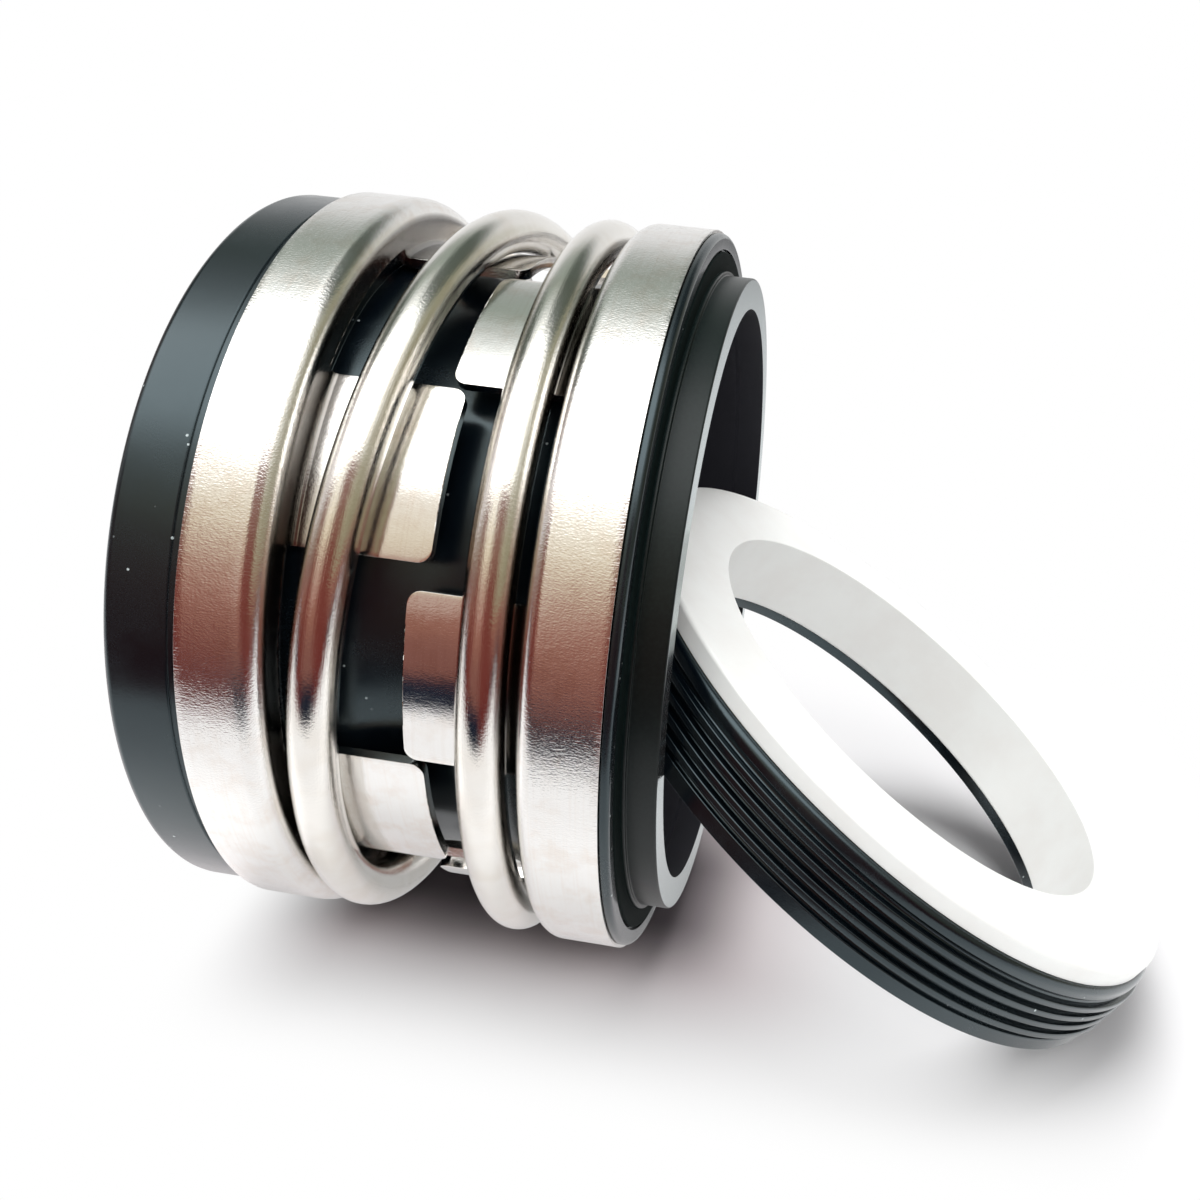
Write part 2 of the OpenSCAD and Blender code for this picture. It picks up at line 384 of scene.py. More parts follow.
@dataclass(frozen=True)
class MouldedRubber(Finish):
    """Black rubber from a polished mould, with a little bloom and dust."""

    slot: Slot = Slot.RUBBER
    colour: Colour = (0.0015, 0.003, 0.005)
    roughness: float = 0.21
    specular: float = 0.72
    glint: Colour = (0.74, 0.94, 1.0)
    bloom: Colour = (0.006, 0.010, 0.013)
    bloom_scale: float = 90.0
    dust: Colour = (0.50, 0.56, 0.56)
    dust_scale: float = 600.0
    dust_size: float = 0.095
    dusty_share: float = 0.55
    dusty_patches: float = 75.0
    grain_scale: float = 5200.0
    grain_depth: float = 0.004 * MM
    wave_scale: float = 260.0
    wave_depth: float = 0.012 * MM

    def dress(self, graph: Graph, place: Signal) -> dict[str, Signal]:
        """Adds bloom, grain and dust.

        Args:
            graph: The material's tree.
            place: The point on the piece, in metres.

        Returns:
            The shader's inputs that vary, by name.
        """
        cells = graph.node("ShaderNodeTexVoronoi", None, {"Vector": place, "Scale": self.dust_scale})
        near = graph.signal(cells, "Distance").ramp(self.dust_size, self.dust_size * 0.5)
        chance = graph.split(graph.signal(cells, "Color"))[0].ramp(self.dusty_share, self.dusty_share * 0.9)
        speck = near * chance * graph.noise(place, self.dusty_patches, 1.0).ramp(0.52, 0.58)
        cloud = graph.noise(place, self.bloom_scale, 4.0, 0.6).ramp(0.42, 0.66)
        grain = graph.noise(place, self.grain_scale)
        wave = graph.noise(place, self.wave_scale)
        return {
            "Base Color": graph.mix(speck, graph.mix(cloud * 0.5, self.colour, self.bloom), self.dust),
            "Roughness": (self.roughness + cloud * 0.07 + (grain - 0.5) * 0.08).clamped(),
            "Normal": graph.bump(wave, self.wave_depth, graph.bump(grain, self.grain_depth)),
        }


@dataclass(frozen=True)
class PressedSteel(Finish):
    """Stainless sheet with a fine grain, drawing lines, and short scratches by its open edge."""

    slot: Slot = Slot.PRESSED_STEEL
    colour: Colour = (0.80, 0.79, 0.77)
    roughness: float = 0.16
    metallic: float = 1.0
    open_edge: float = 0.0
    lug_from: float = 0.0
    lug_side: float = 1.0
    grain_scale: float = 6400.0
    grain_depth: float = 0.021 * MM
    line_scale: float = 110.0
    line_stretch: float = 40.0
    nick_scale: float = 520.0
    nick_depth: float = 0.006 * MM
    scratch_reach: float = 1.1 * MM
    wave_scale: float = 380.0
    wave_depth: float = 0.024 * MM
    stain: Colour = (0.70, 0.63, 0.57)
    stain_scale: float = 330.0
    # Painted shade: the colour and reach of the darkening where the lugs leave the end wall.
    painted_crevice_colour: Colour = (0.10, 0.09, 0.08)
    painted_crevice_reach: float = 2.2 * MM

    def _relief(self, graph: Graph, place: Signal, lines: Signal, rough_share: Signal) -> Signal:
        """The sheet's relief, which is fainter on the lugs, and scratched by the open edge.

        Args:
            graph: The material's tree.
            place: The point on the piece, in metres.
            lines: The drawing lines, from 0 to 1.
            rough_share: How much of the relief shows, from 0 to 1.

        Returns:
            The bumped normal.
        """
        x, y, z = graph.split(place)
        grain = graph.noise(graph.combine(x * 0.6, y, z), self.grain_scale, 2.0, 0.6)
        nicks = graph.noise(graph.combine(x * 1.6, y * 12.0, z * 12.0), self.nick_scale, 2.0, 0.6)
        scratches = graph.noise(graph.combine(x, y * 14.0, z * 14.0), self.nick_scale, 2.0, 0.6)
        reach = self.scratch_reach * (0.4 + graph.noise(graph.combine(0.0, y, z), 900.0, 1.0) * 1.2)
        near_edge = (1.0 - abs(x - self.open_edge) / reach).clamped()
        normal = graph.bump(graph.noise(place, self.wave_scale), self.wave_depth)
        normal = graph.bump(grain * rough_share, self.grain_depth, normal)
        normal = graph.bump((lines * 0.5 + nicks) * rough_share, self.nick_depth, normal)
        return graph.bump(scratches.ramp(0.50, 0.64) * near_edge, self.nick_depth, normal)

    def dress(self, graph: Graph, place: Signal) -> dict[str, Signal]:
        """Adds grain, drawing lines, edge scratches, stains, and painted shade in the crevice where the lugs
        start.

        Args:
            graph: The material's tree.
            place: The point on the piece, in metres.

        Returns:
            The shader's inputs that vary, by name.
        """
        x, y, z = graph.split(place)
        lines = graph.noise(graph.combine(x * self.line_stretch, y, z), self.line_scale, 3.0, 0.6)
        past_wall = (x - self.lug_from) * self.lug_side
        on_lug = past_wall.ramp(0.0, 0.8 * MM)
        mottle = graph.noise(place, self.stain_scale, 4.0, 0.65).ramp(0.45, 0.70)
        colour = graph.mix(mottle * 0.45 + lines.ramp(0.45, 0.70) * 0.20, self.colour, self.stain)
        # Painted shade: the sheet is darkened in the crevice where the lugs leave the end wall, where shadow
        # falls.
        painted_crevice_share = past_wall.ramp(self.painted_crevice_reach, 0.4 * MM) * past_wall.ramp(-0.2 * MM, 0.0)
        return {
            "Base Color": graph.mix(painted_crevice_share * 0.85, colour, self.painted_crevice_colour),
            "Roughness": ((self.roughness + (lines - 0.5) * 0.06) * (1.0 - on_lug * 0.3)).clamped(),
            "Normal": self._relief(graph, place, lines, 1.0 - on_lug * 0.65),
        }


@dataclass(frozen=True)
class DrawnWire(Finish):
    """Bright stainless wire with fine lines along it."""

    slot: Slot = Slot.SPRING_STEEL
    colour: Colour = (0.80, 0.78, 0.74)
    roughness: float = 0.11
    metallic: float = 1.0
    line_scale: float = 9.0
    line_depth: float = 0.015 * MM
    grain_scale: float = 4200.0
    grain_depth: float = 0.012 * MM
    tint: Colour = (0.72, 0.67, 0.60)
    tint_scale: float = 300.0

    def dress(self, graph: Graph, place: Signal) -> dict[str, Signal]:
        """Adds the die's lines, which follow the wire, and a fine grain.

        Args:
            graph: The material's tree.
            place: The point on the piece, in metres.

        Returns:
            The shader's inputs that vary, by name.
        """
        along, around = (
            graph.signal(graph.node("ShaderNodeAttribute", {"attribute_name": name}), "Fac")
            for name in ("wire_along", "wire_around")
        )
        turn = around * FULL_TURN
        ring = graph.combine(along * 14.0, graph.maths("COSINE", turn) * 2.0, graph.maths("SINE", turn) * 2.0)
        lines = graph.noise(ring, self.line_scale, 4.0, 0.7)
        grain = graph.noise(place, self.grain_scale, 2.0, 0.6)
        warm = graph.noise(place, self.tint_scale).ramp(0.4, 0.7)
        return {
            "Base Color": graph.mix(warm * 0.4, self.colour, self.tint),
            "Roughness": (self.roughness + (grain - 0.5) * 0.10 + (lines - 0.5) * 0.12).clamped(),
            "Normal": graph.bump(lines, self.line_depth, graph.bump(grain, self.grain_depth)),
        }


@dataclass(frozen=True)
class TurnedCarbon(Finish):
    """Machined carbon with fine turning marks, one lapped face and a dull flange."""

    slot: Slot = Slot.CARBON
    colour: Colour = (0.002, 0.005, 0.005)
    roughness: float = 0.42
    specular: float = 0.05
    glint: Colour = (0.92, 1.0, 0.99)
    coat_roughness: float = 0.36
    lapped_face: float = 0.0
    flange_face: float = 0.0
    bore_radius: float = 0.0
    porous: Colour = (0.006, 0.011, 0.010)
    pore_scale: float = 3000.0
    pore_depth: float = 0.006 * MM
    mark_scale: float = 900.0
    mark_depth: float = 0.008 * MM
    worn_bore: Colour = (0.022, 0.022, 0.027)
    lapped: Colour = (0.30, 0.30, 0.31)

    def dress(self, graph: Graph, place: Signal) -> dict[str, Signal]:
        """Adds turning marks, pores, the lapped face and the flange.

        Args:
            graph: The material's tree.
            place: The point on the piece, in metres.

        Returns:
            The shader's inputs that vary, by name.
        """
        x, y, z = graph.split(place)
        out = graph.maths("SQRT", y * y + z * z)
        marks = graph.noise(graph.combine(x * 8.0, out * 8.0, 0.0), self.mark_scale, 2.0, 0.6)
        pores = graph.noise(place, self.pore_scale, 3.0, 0.7)
        on_face = (x - self.lapped_face).ramp(-0.03 * MM, -0.01 * MM)
        on_flange = 1.0 - abs(x - self.flange_face).ramp(0.1 * MM, 0.3 * MM)
        dull = 1.0 - on_face * 0.9
        shade = graph.mix(pores.ramp(0.35, 0.7) * 0.6, self.colour, self.porous)
        shade = graph.mix((out - self.bore_radius).ramp(0.5 * MM, 0.2 * MM), shade, self.worn_bore)
        return {
            "Base Color": graph.mix(on_face, shade, self.lapped),
            "Roughness": (self.roughness + (pores - 0.5) * 0.15) * (1.0 - on_face * 0.6) + on_flange * 0.35,
            "Coat Weight": (1.0 - on_flange) * (1.0 - on_face) * 0.5,
            "Metallic": on_face * 0.9,
            "Normal": graph.bump(pores * dull, self.pore_depth, graph.bump(marks * dull, self.mark_depth)),
        }


@dataclass(frozen=True)
class GroundCeramic(Finish):
    """White ceramic, ground all over, with a faint mottle."""

    slot: Slot = Slot.CERAMIC
    colour: Colour = (0.86, 0.875, 0.85)
    roughness: float = 0.32
    mottle: Colour = (0.80, 0.79, 0.76)
    mottle_scale: float = 150.0
    grain_scale: float = 4500.0
    grain_depth: float = 0.002 * MM

    def dress(self, graph: Graph, place: Signal) -> dict[str, Signal]:
        """Adds the mottle and the grinding's grain.

        Args:
            graph: The material's tree.
            place: The point on the piece, in metres.

        Returns:
            The shader's inputs that vary, by name.
        """
        mottle = graph.noise(place, self.mottle_scale, 4.0, 0.6)
        return {
            "Base Color": graph.mix(mottle.ramp(0.35, 0.7) * 0.5, self.colour, self.mottle),
            "Roughness": (self.roughness + (mottle - 0.5) * 0.15).clamped(),
            "Normal": graph.bump(graph.noise(place, self.grain_scale), self.grain_depth),
        }


@dataclass(frozen=True)
class Corner:
    """A corner of a section: its radius, its station and how round it is."""

    radius: float
    station: float
    round: float = 0.0


class Section:
    """A closed outline in radius and station, with rounded corners."""

    STEPS: ClassVar[int] = 5

    def __init__(self, corners: Sequence[Corner]) -> None:
        """Takes the corners, anticlockwise with the radius to the right and the station up."""
        self.corners = corners

    def outline(self) -> np.ndarray:
        """The outline's points.

        Returns:
            One row for each point: its radius and its station.
        """
        points: list[np.ndarray] = []
        count = len(self.corners)
        for index, corner in enumerate(self.corners):
            here = np.array([corner.radius, corner.station])
            if corner.round <= 0.0:
                points.append(here)
                continue
            before = self.corners[index - 1]
            after = self.corners[(index + 1) % count]
            into = np.array([before.radius, before.station]) - here
            out = np.array([after.radius, after.station]) - here
            into /= np.linalg.norm(into)
            out /= np.linalg.norm(out)
            points.extend(self._arc(here, into, out, corner.round))
        return np.array(points)

    def _arc(
        self, here: np.ndarray, into: np.ndarray, out: np.ndarray, radius: float
    ) -> Iterable[np.ndarray]:
        """The points of one rounded corner.

        Args:
            here: The sharp corner.
            into: Unit vector back along the edge that comes in.
            out: Unit vector along the edge that goes out.
            radius: The round's radius.

        Yields:
            Points from the first edge to the second.
        """
        half = 0.5 * math.acos(float(np.clip(into @ out, -1.0, 1.0)))
        middle = (into + out) / np.linalg.norm(into + out)
        centre = here + middle * radius / math.sin(half)
        start = here + into * radius / math.tan(half) - centre
        end = here + out * radius / math.tan(half) - centre
        sweep = math.acos(float(np.clip(start @ end / radius**2, -1.0, 1.0)))
        for step in range(self.STEPS + 1):
            share = step / self.STEPS
            weight_start = math.sin((1.0 - share) * sweep) / math.sin(sweep)
            weight_end = math.sin(share * sweep) / math.sin(sweep)
            yield centre + weight_start * start + weight_end * end


@dataclass(frozen=True)
class Axle:
    """The line that a turned piece is turned about."""

    foot: Vector
    turn: Matrix

    @classmethod
    def shaft(cls) -> "Axle":
        """The shaft's axis, with stations along +X."""
        return cls(Vector((0.0, 0.0, 0.0)), Matrix(((0.0, 0.0, 1.0), (1.0, 0.0, 0.0), (0.0, 1.0, 0.0))))

    @classmethod
    def leaning(cls, foot: Vector, lean: float) -> "Axle":
        """An axis that leans to +X from upright.

        Args:
            foot: Where stations start.
            lean: The angle between the axis and upright, in radians.

        Returns:
            The axis, with stations up along it.
        """
        return cls(foot, Matrix.Rotation(lean, 3, "Y"))

    def place(self, points: np.ndarray) -> np.ndarray:
        """Takes points from the axis's own frame to the model's."""
        return points @ np.array(self.turn).T + np.array(self.foot)


def new_piece(name: str, vertices: np.ndarray, faces: Iterable[Sequence[int]]) -> bpy.types.Object:
    """Makes an object from points and faces.

    Args:
        name: The piece's name.
        vertices: Its points, one to a row.
        faces: Its faces, as tuples of point numbers.

    Returns:
        The object, shaded smooth.
    """
    mesh = bpy.data.meshes.new(name)
    mesh.from_pydata([tuple(point) for point in vertices], [], [tuple(face) for face in faces])
    mesh.update()
    mesh.polygons.foreach_set("use_smooth", [True] * len(mesh.polygons))
    piece = bpy.data.objects.new(name, mesh)
    bpy.context.scene.collection.objects.link(piece)
    return piece


def turned(name: str, section: Section, axle: Axle) -> bpy.types.Object:
    """Turns a closed section into a ring.

    Args:
        name: The piece's name.
        section: Its outline.
        axle: What it is turned about.

    Returns:
        The ring, with weighted normals.
    """
    outline = section.outline()
    rows = len(outline)
    angles = np.arange(AROUND) * FULL_TURN / AROUND
    radius, station = outline[:, 0], outline[:, 1]
    points = np.stack(
        [
            np.outer(np.cos(angles), radius).ravel(),
            np.outer(np.sin(angles), radius).ravel(),
            np.tile(station, AROUND),
        ],
        axis=1,
    )
    faces = []
    for ring in range(AROUND):
        after = (ring + 1) % AROUND
        for row in range(rows):
            up = (row + 1) % rows
            faces.append((ring * rows + row, after * rows + row, after * rows + up, ring * rows + up))
    piece = new_piece(name, axle.place(points), faces)
    return baked(piece, [WEIGHTED])


def baked(piece: bpy.types.Object, modifiers: Sequence[Modifier]) -> bpy.types.Object:
    """Gives a piece some modifiers and makes their result its plain mesh.

    Args:
        piece: The piece.
        modifiers: For each modifier its name, its type and its settings.

    Returns:
        The same piece, with no modifier left.
    """
    for name, kind, settings in modifiers:
        modifier = piece.modifiers.new(name, kind)
        for key, value in settings.items():
            setattr(modifier, key, value)
    graph = bpy.context.evaluated_depsgraph_get()
    graph.update()
    made = bpy.data.meshes.new_from_object(piece.evaluated_get(graph), depsgraph=graph)
    piece.modifiers.clear()
    old = piece.data
    piece.data = made
    made.name = piece.name
    bpy.data.meshes.remove(old)
    return piece


def rule(name: str, inputs: RuleInputs) -> tuple[Graph, dict[str, Signal], bpy.types.NodeTree]:
    """Starts a geometry rule with named inputs.

    Args:
        name: The rule's name.
        inputs: For each input its name, its socket type and its value.

    Returns:
        The graph, its inputs as signals, and the tree.
    """
    tree = bpy.data.node_groups.new(name, "GeometryNodeTree")
    tree.interface.new_socket("Geometry", in_out="INPUT", socket_type="NodeSocketGeometry")
    tree.interface.new_socket("Geometry", in_out="OUTPUT", socket_type="NodeSocketGeometry")
    for label, (kind, _) in inputs.items():
        tree.interface.new_socket(label, in_out="INPUT", socket_type=kind)
    graph = Graph(tree)
    entry = graph.node("NodeGroupInput")
    signals = {label: graph.signal(entry, label) for label in ["Geometry", *inputs]}
    return graph, signals, tree


def follow_rule(piece: bpy.types.Object, tree: bpy.types.NodeTree, inputs: RuleInputs) -> None:
    """Makes the result of a geometry rule the piece's plain mesh.

    Args:
        piece: The piece that the rule starts from.
        tree: The rule's tree.
        inputs: The values of its named inputs.
    """
    modifier = piece.modifiers.new(tree.name, "NODES")
    modifier.node_group = tree
    sockets = {item.name: item.identifier for item in tree.interface.items_tree if item.in_out == "INPUT"}
    for label, (_, value) in inputs.items():
        modifier[sockets[label]] = value
    piece.update_tag()
    baked(piece, [])


def finish_rule(graph: Graph, geometry: Signal, material: Signal) -> None:
    """Ends a rule: its instances become real mesh, and the mesh gets its material.

    Args:
        graph: The rule's graph.
        geometry: What the rule has made.
        material: The material.
    """
    real = graph.node("GeometryNodeRealizeInstances", None, [geometry])
    dressed = graph.node("GeometryNodeSetMaterial", None, {"Geometry": real.outputs[0], "Material": material})
    graph.node("NodeGroupOutput", None, [dressed.outputs[0]])


@dataclass
class Stations:
    """The head's lengths along the shaft and its radii, read from the frame's own boxes."""

    sheet: float = 1.0 * MM
    slip: float = 0.05 * MM
    shell_radius: float = field(init=False)
    band_open: float = field(init=False)
    band_wall: float = field(init=False)
    retainer_wall: float = field(init=False)
    retainer_open: float = field(init=False)
    band_lug_tip: float = field(init=False)
    retainer_lug_tip: float = field(init=False)
    ring_back: float = field(init=False)
    ring_radius: float = field(init=False)
    nose_face: float = field(init=False)
    lip_face: float = field(init=False)

    def __post_init__(self) -> None:
        """Reads the boxes."""
        band_low, band_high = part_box("drive_band")
        retainer_low, retainer_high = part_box("retainer")
        coil_low, coil_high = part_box("coil_spring")
        ring_low, ring_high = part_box("primary_ring")
        self.shell_radius = retainer_high[1]
        self.band_open = band_low[0]
        self.band_lug_tip = band_high[0]
        self.retainer_open = retainer_high[0]
        self.retainer_lug_tip = retainer_low[0]
        self.band_wall = coil_low[0]
        self.retainer_wall = coil_high[0]
        self.ring_back = ring_low[0]
        self.ring_radius = ring_high[1]
        self.nose_face = ring_high[0]
        self.lip_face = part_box("bellows")[1][0]


@dataclass(frozen=True)
class SheetSpot:
    """A place on a pressed sheet's outer face, and which way the face looks there."""

    depth: float
    radius: float
    along: float
    out: float
    half_width: float = 0.0


@dataclass(frozen=True)
class SheetRow:
    """One row of points across a pressed sheet, on its outer and its inner face."""

    columns: Sequence[int]
    outer: list[Point]
    inner: list[Point]


@dataclass
class PressedShell:
    """One of the two pressed shells: a short cylinder, a rounded corner, an end wall and six lugs."""

    name: str
    node: str
    body: Body
    stations: Stations
    open_end: float
    wall_face: float
    lug_tip: float
    corner: float
    first_lug: float
    lug_count: int = 6
    lug_spread: float = math.radians(27.5)
    lug_radius: float = 32.95 * MM
    lug_bend: float = 0.6 * MM
    hole_radius: float = 33.85 * MM
    tip_corner: float = 1.2 * MM
    edge: float = 0.14 * MM
    seam: float = 0.002 * MM
    lug_columns: int = 36
    plain_columns: int = 44

    @classmethod
    def drive_band(cls, stations: Stations) -> "PressedShell":
        """The shell at the tail end, whose lugs point to the nose.

        Args:
            stations: The head's lengths.

        Returns:
            The shell.
        """
        return cls(
            name="drive_band_shell",
            node="drive_band",
            body=Body.DRIVE_END,
            stations=stations,
            open_end=stations.band_open,
            wall_face=stations.band_wall,
            lug_tip=stations.band_lug_tip,
            corner=2.1 * MM,
            first_lug=math.radians(31.25),
        )

    @classmethod
    def retainer(cls, stations: Stations) -> "PressedShell":
        """The shell at the nose end, whose lugs point to the tail.

        Args:
            stations: The head's lengths.

        Returns:
            The shell.
        """
        return cls(
            name="retainer_shell",
            node="retainer",
            body=Body.SEAL_HEAD,
            stations=stations,
            open_end=stations.retainer_open,
            wall_face=stations.retainer_wall,
            lug_tip=stations.retainer_lug_tip,
            corner=1.8 * MM,
            first_lug=math.radians(-0.25),
        )

    @property
    def side(self) -> float:
        """1 where the lugs point to +X, and -1 where they point to -X."""
        return 1.0 if self.lug_tip > self.wall_face else -1.0

    def _plain_path(self) -> list[SheetSpot]:
        """The sheet's outer face from the open end to the end wall's hole.

        Returns:
            Its spots, with depths from the open end.
        """
        depth = abs(self.wall_face - self.open_end)
        outer = self.stations.shell_radius
        flat = depth - self.corner
        path = [SheetSpot(share * flat, outer, 0.0, 1.0) for share in np.linspace(0.0, 1.0, 8)]
        for turn in np.linspace(0.0, math.pi / 2, 15)[1:]:
            out, along = math.cos(turn), math.sin(turn)
            radius = outer - self.corner + self.corner * out
            path.append(SheetSpot(flat + self.corner * along, radius, along, out))
        wall = np.linspace(outer - self.corner, self.hole_radius, 4)[1:]
        return path + [SheetSpot(depth, radius, 1.0, 0.0) for radius in wall]

    def _lug_path(self) -> list[SheetSpot]:
        """The sheet's outer face on from the hole, round the bend and out to the lug's tip.

        Returns:
            Its spots, with the lug's half width at each.
        """
        depth = abs(self.wall_face - self.open_end)
        straight = abs(self.lug_tip - self.wall_face) - self.tip_corner
        half = self.lug_radius * self.lug_spread / 2
        bend = self.lug_bend
        path = []
        for turn in np.linspace(0.0, math.pi / 2, 8):
            along, out = math.cos(turn), math.sin(turn)
            radius = self.lug_radius + bend * (1.0 - out)
            path.append(SheetSpot(depth + bend * (1.0 - along), radius, along, out, half))
        for length in np.linspace(bend, straight, 12)[1:]:
            path.append(SheetSpot(depth + length, self.lug_radius, 0.0, 1.0, half))
        for turn in np.linspace(0.0, math.pi / 2, 9)[1:]:
            length = straight + self.tip_corner * math.sin(turn)
            width = half - self.tip_corner + self.tip_corner * math.cos(turn)
            path.append(SheetSpot(depth + length, self.lug_radius, 0.0, 1.0, width))
        return path

    def _sector(self) -> bpy.types.Object:
        """One lug's share of the shell, from half way to the lug before to half way to the next.

        Returns:
            The sector, open where the next one joins.
        """
        half_lug = self.lug_spread / 2
        half_sector = FULL_TURN / self.lug_count / 2
        half_plain = self.plain_columns // 2
        angles = np.concatenate(
            [
                np.linspace(-half_sector, -half_lug, half_plain + 1)[:-1],
                np.linspace(-half_lug, half_lug, self.lug_columns + 1),
                np.linspace(half_lug, half_sector, half_plain + 1)[1:],
            ]
        )
        lug_range = range(half_plain, half_plain + self.lug_columns + 1)
        rows = [self._row(range(len(angles)), angles, spot) for spot in self._plain_path()]
        for spot in self._lug_path():
            share = spot.half_width / (self.lug_radius * half_lug)
            rows.append(self._row(lug_range, angles[lug_range.start : lug_range.stop] * share, spot))
        return self._sewn(rows, len(angles))

    def _row(self, columns: Sequence[int], angles: np.ndarray, spot: SheetSpot) -> SheetRow:
        """One row of points on both faces of the sheet.

        Args:
            columns: The columns that the row spans.
            angles: Each column's angle.
            spot: Where the row is on the sheet's outer face.

        Returns:
            The row.
        """
        faces = []
        for gap in (0.0, self.stations.sheet):
            x = self.open_end + self.side * (spot.depth - gap * spot.along)
            r = spot.radius - gap * spot.out
            faces.append([(x, -r * math.cos(angle), r * math.sin(angle)) for angle in angles])
        return SheetRow(columns, *faces)

    def _sewn(self, rows: Sequence[SheetRow], width: int) -> bpy.types.Object:
        """Sews the rows into a closed sheet, left open only where the next sector joins.

        Args:
            rows: The rows, from the open end to the lug's tip.
            width: How many columns a full row has.

        Returns:
            The sector.
        """
        points: list[Point] = []
        number: dict[tuple[int, int, int], int] = {}
        for index, row in enumerate(rows):
            for face, ring in enumerate((row.outer, row.inner)):
                for column, point in zip(row.columns, ring):
                    number[index, column, face] = len(points)
                    points.append(point)
        faces: list[tuple[int, ...]] = []

        def quad(*corners: tuple[int, int, int]) -> None:
            """Adds a face, turned the other way where the shell is a mirror image."""
            ring = [number[corner] for corner in corners]
            faces.append(tuple(ring if self.side > 0 else reversed(ring)))

        for index in range(len(rows) - 1):
            here, there = set(rows[index].columns), set(rows[index + 1].columns)
            shared = sorted(here & there)
            for left, right in zip(shared, shared[1:]):
                quad((index, left, 0), (index, right, 0), (index + 1, right, 0), (index + 1, left, 0))
                quad((index + 1, left, 1), (index + 1, right, 1), (index, right, 1), (index, left, 1))
            if len(shared) < width:
                low, high = shared[0], shared[-1]
                quad((index, low, 0), (index + 1, low, 0), (index + 1, low, 1), (index, low, 1))
                quad((index, high, 1), (index + 1, high, 1), (index + 1, high, 0), (index, high, 0))
            for left in sorted(here - there | {shared[0], shared[-1]}):
                right = left + 1
                if right in here and not (left in there and right in there):
                    quad((index, left, 0), (index, left, 1), (index, right, 1), (index, right, 0))
        first, last = rows[0].columns, rows[-1].columns
        for left, right in zip(first, first[1:]):
            quad((0, left, 0), (0, left, 1), (0, right, 1), (0, right, 0))
        end = len(rows) - 1
        for left, right in zip(last, last[1:]):
            quad((end, left, 0), (end, right, 0), (end, right, 1), (end, left, 1))
        return new_piece(self.name, np.array(points), faces)

    def build(self, finish: Finish) -> bpy.types.Object:
        """Makes the shell from one sector, repeated round the shaft.

        Args:
            finish: The sheet's finish.

        Returns:
            The shell, riding on its body.
        """
        piece = self._sector()
        inputs = {
            "Count": ("NodeSocketInt", self.lug_count),
            "First": ("NodeSocketFloat", -self.first_lug),
            "Step": ("NodeSocketFloat", FULL_TURN / self.lug_count),
            "Sheet": ("NodeSocketMaterial", finish.build()),
        }
        graph, given, tree = rule("lug_pattern", inputs)
        spots = graph.node("GeometryNodeMeshLine", None, {"Count": given["Count"], "Offset": (0.0, 0.0, 0.0)})
        index = graph.signal(graph.node("GeometryNodeInputIndex"))
        turn = graph.combine(given["First"] + index * given["Step"], 0.0, 0.0)
        placed = {"Points": spots.outputs[0], "Instance": given["Geometry"], "Rotation": turn}
        copies = graph.node("GeometryNodeInstanceOnPoints", None, placed)
        real = graph.node("GeometryNodeRealizeInstances", None, [copies.outputs[0]])
        seams = {"Geometry": real.outputs[0], "Distance": self.seam}
        joined = graph.node("GeometryNodeMergeByDistance", None, seams)
        finish_rule(graph, graph.signal(joined), given["Sheet"])
        follow_rule(piece, tree, inputs)
        rounding = {"width": self.edge, "segments": 3, "limit_method": "ANGLE", "angle_limit": SHARP_TURN}
        baked(piece, [("edges", "BEVEL", rounding), WEIGHTED])
        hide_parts(self.node)
        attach(piece, self.body.value)
        return piece


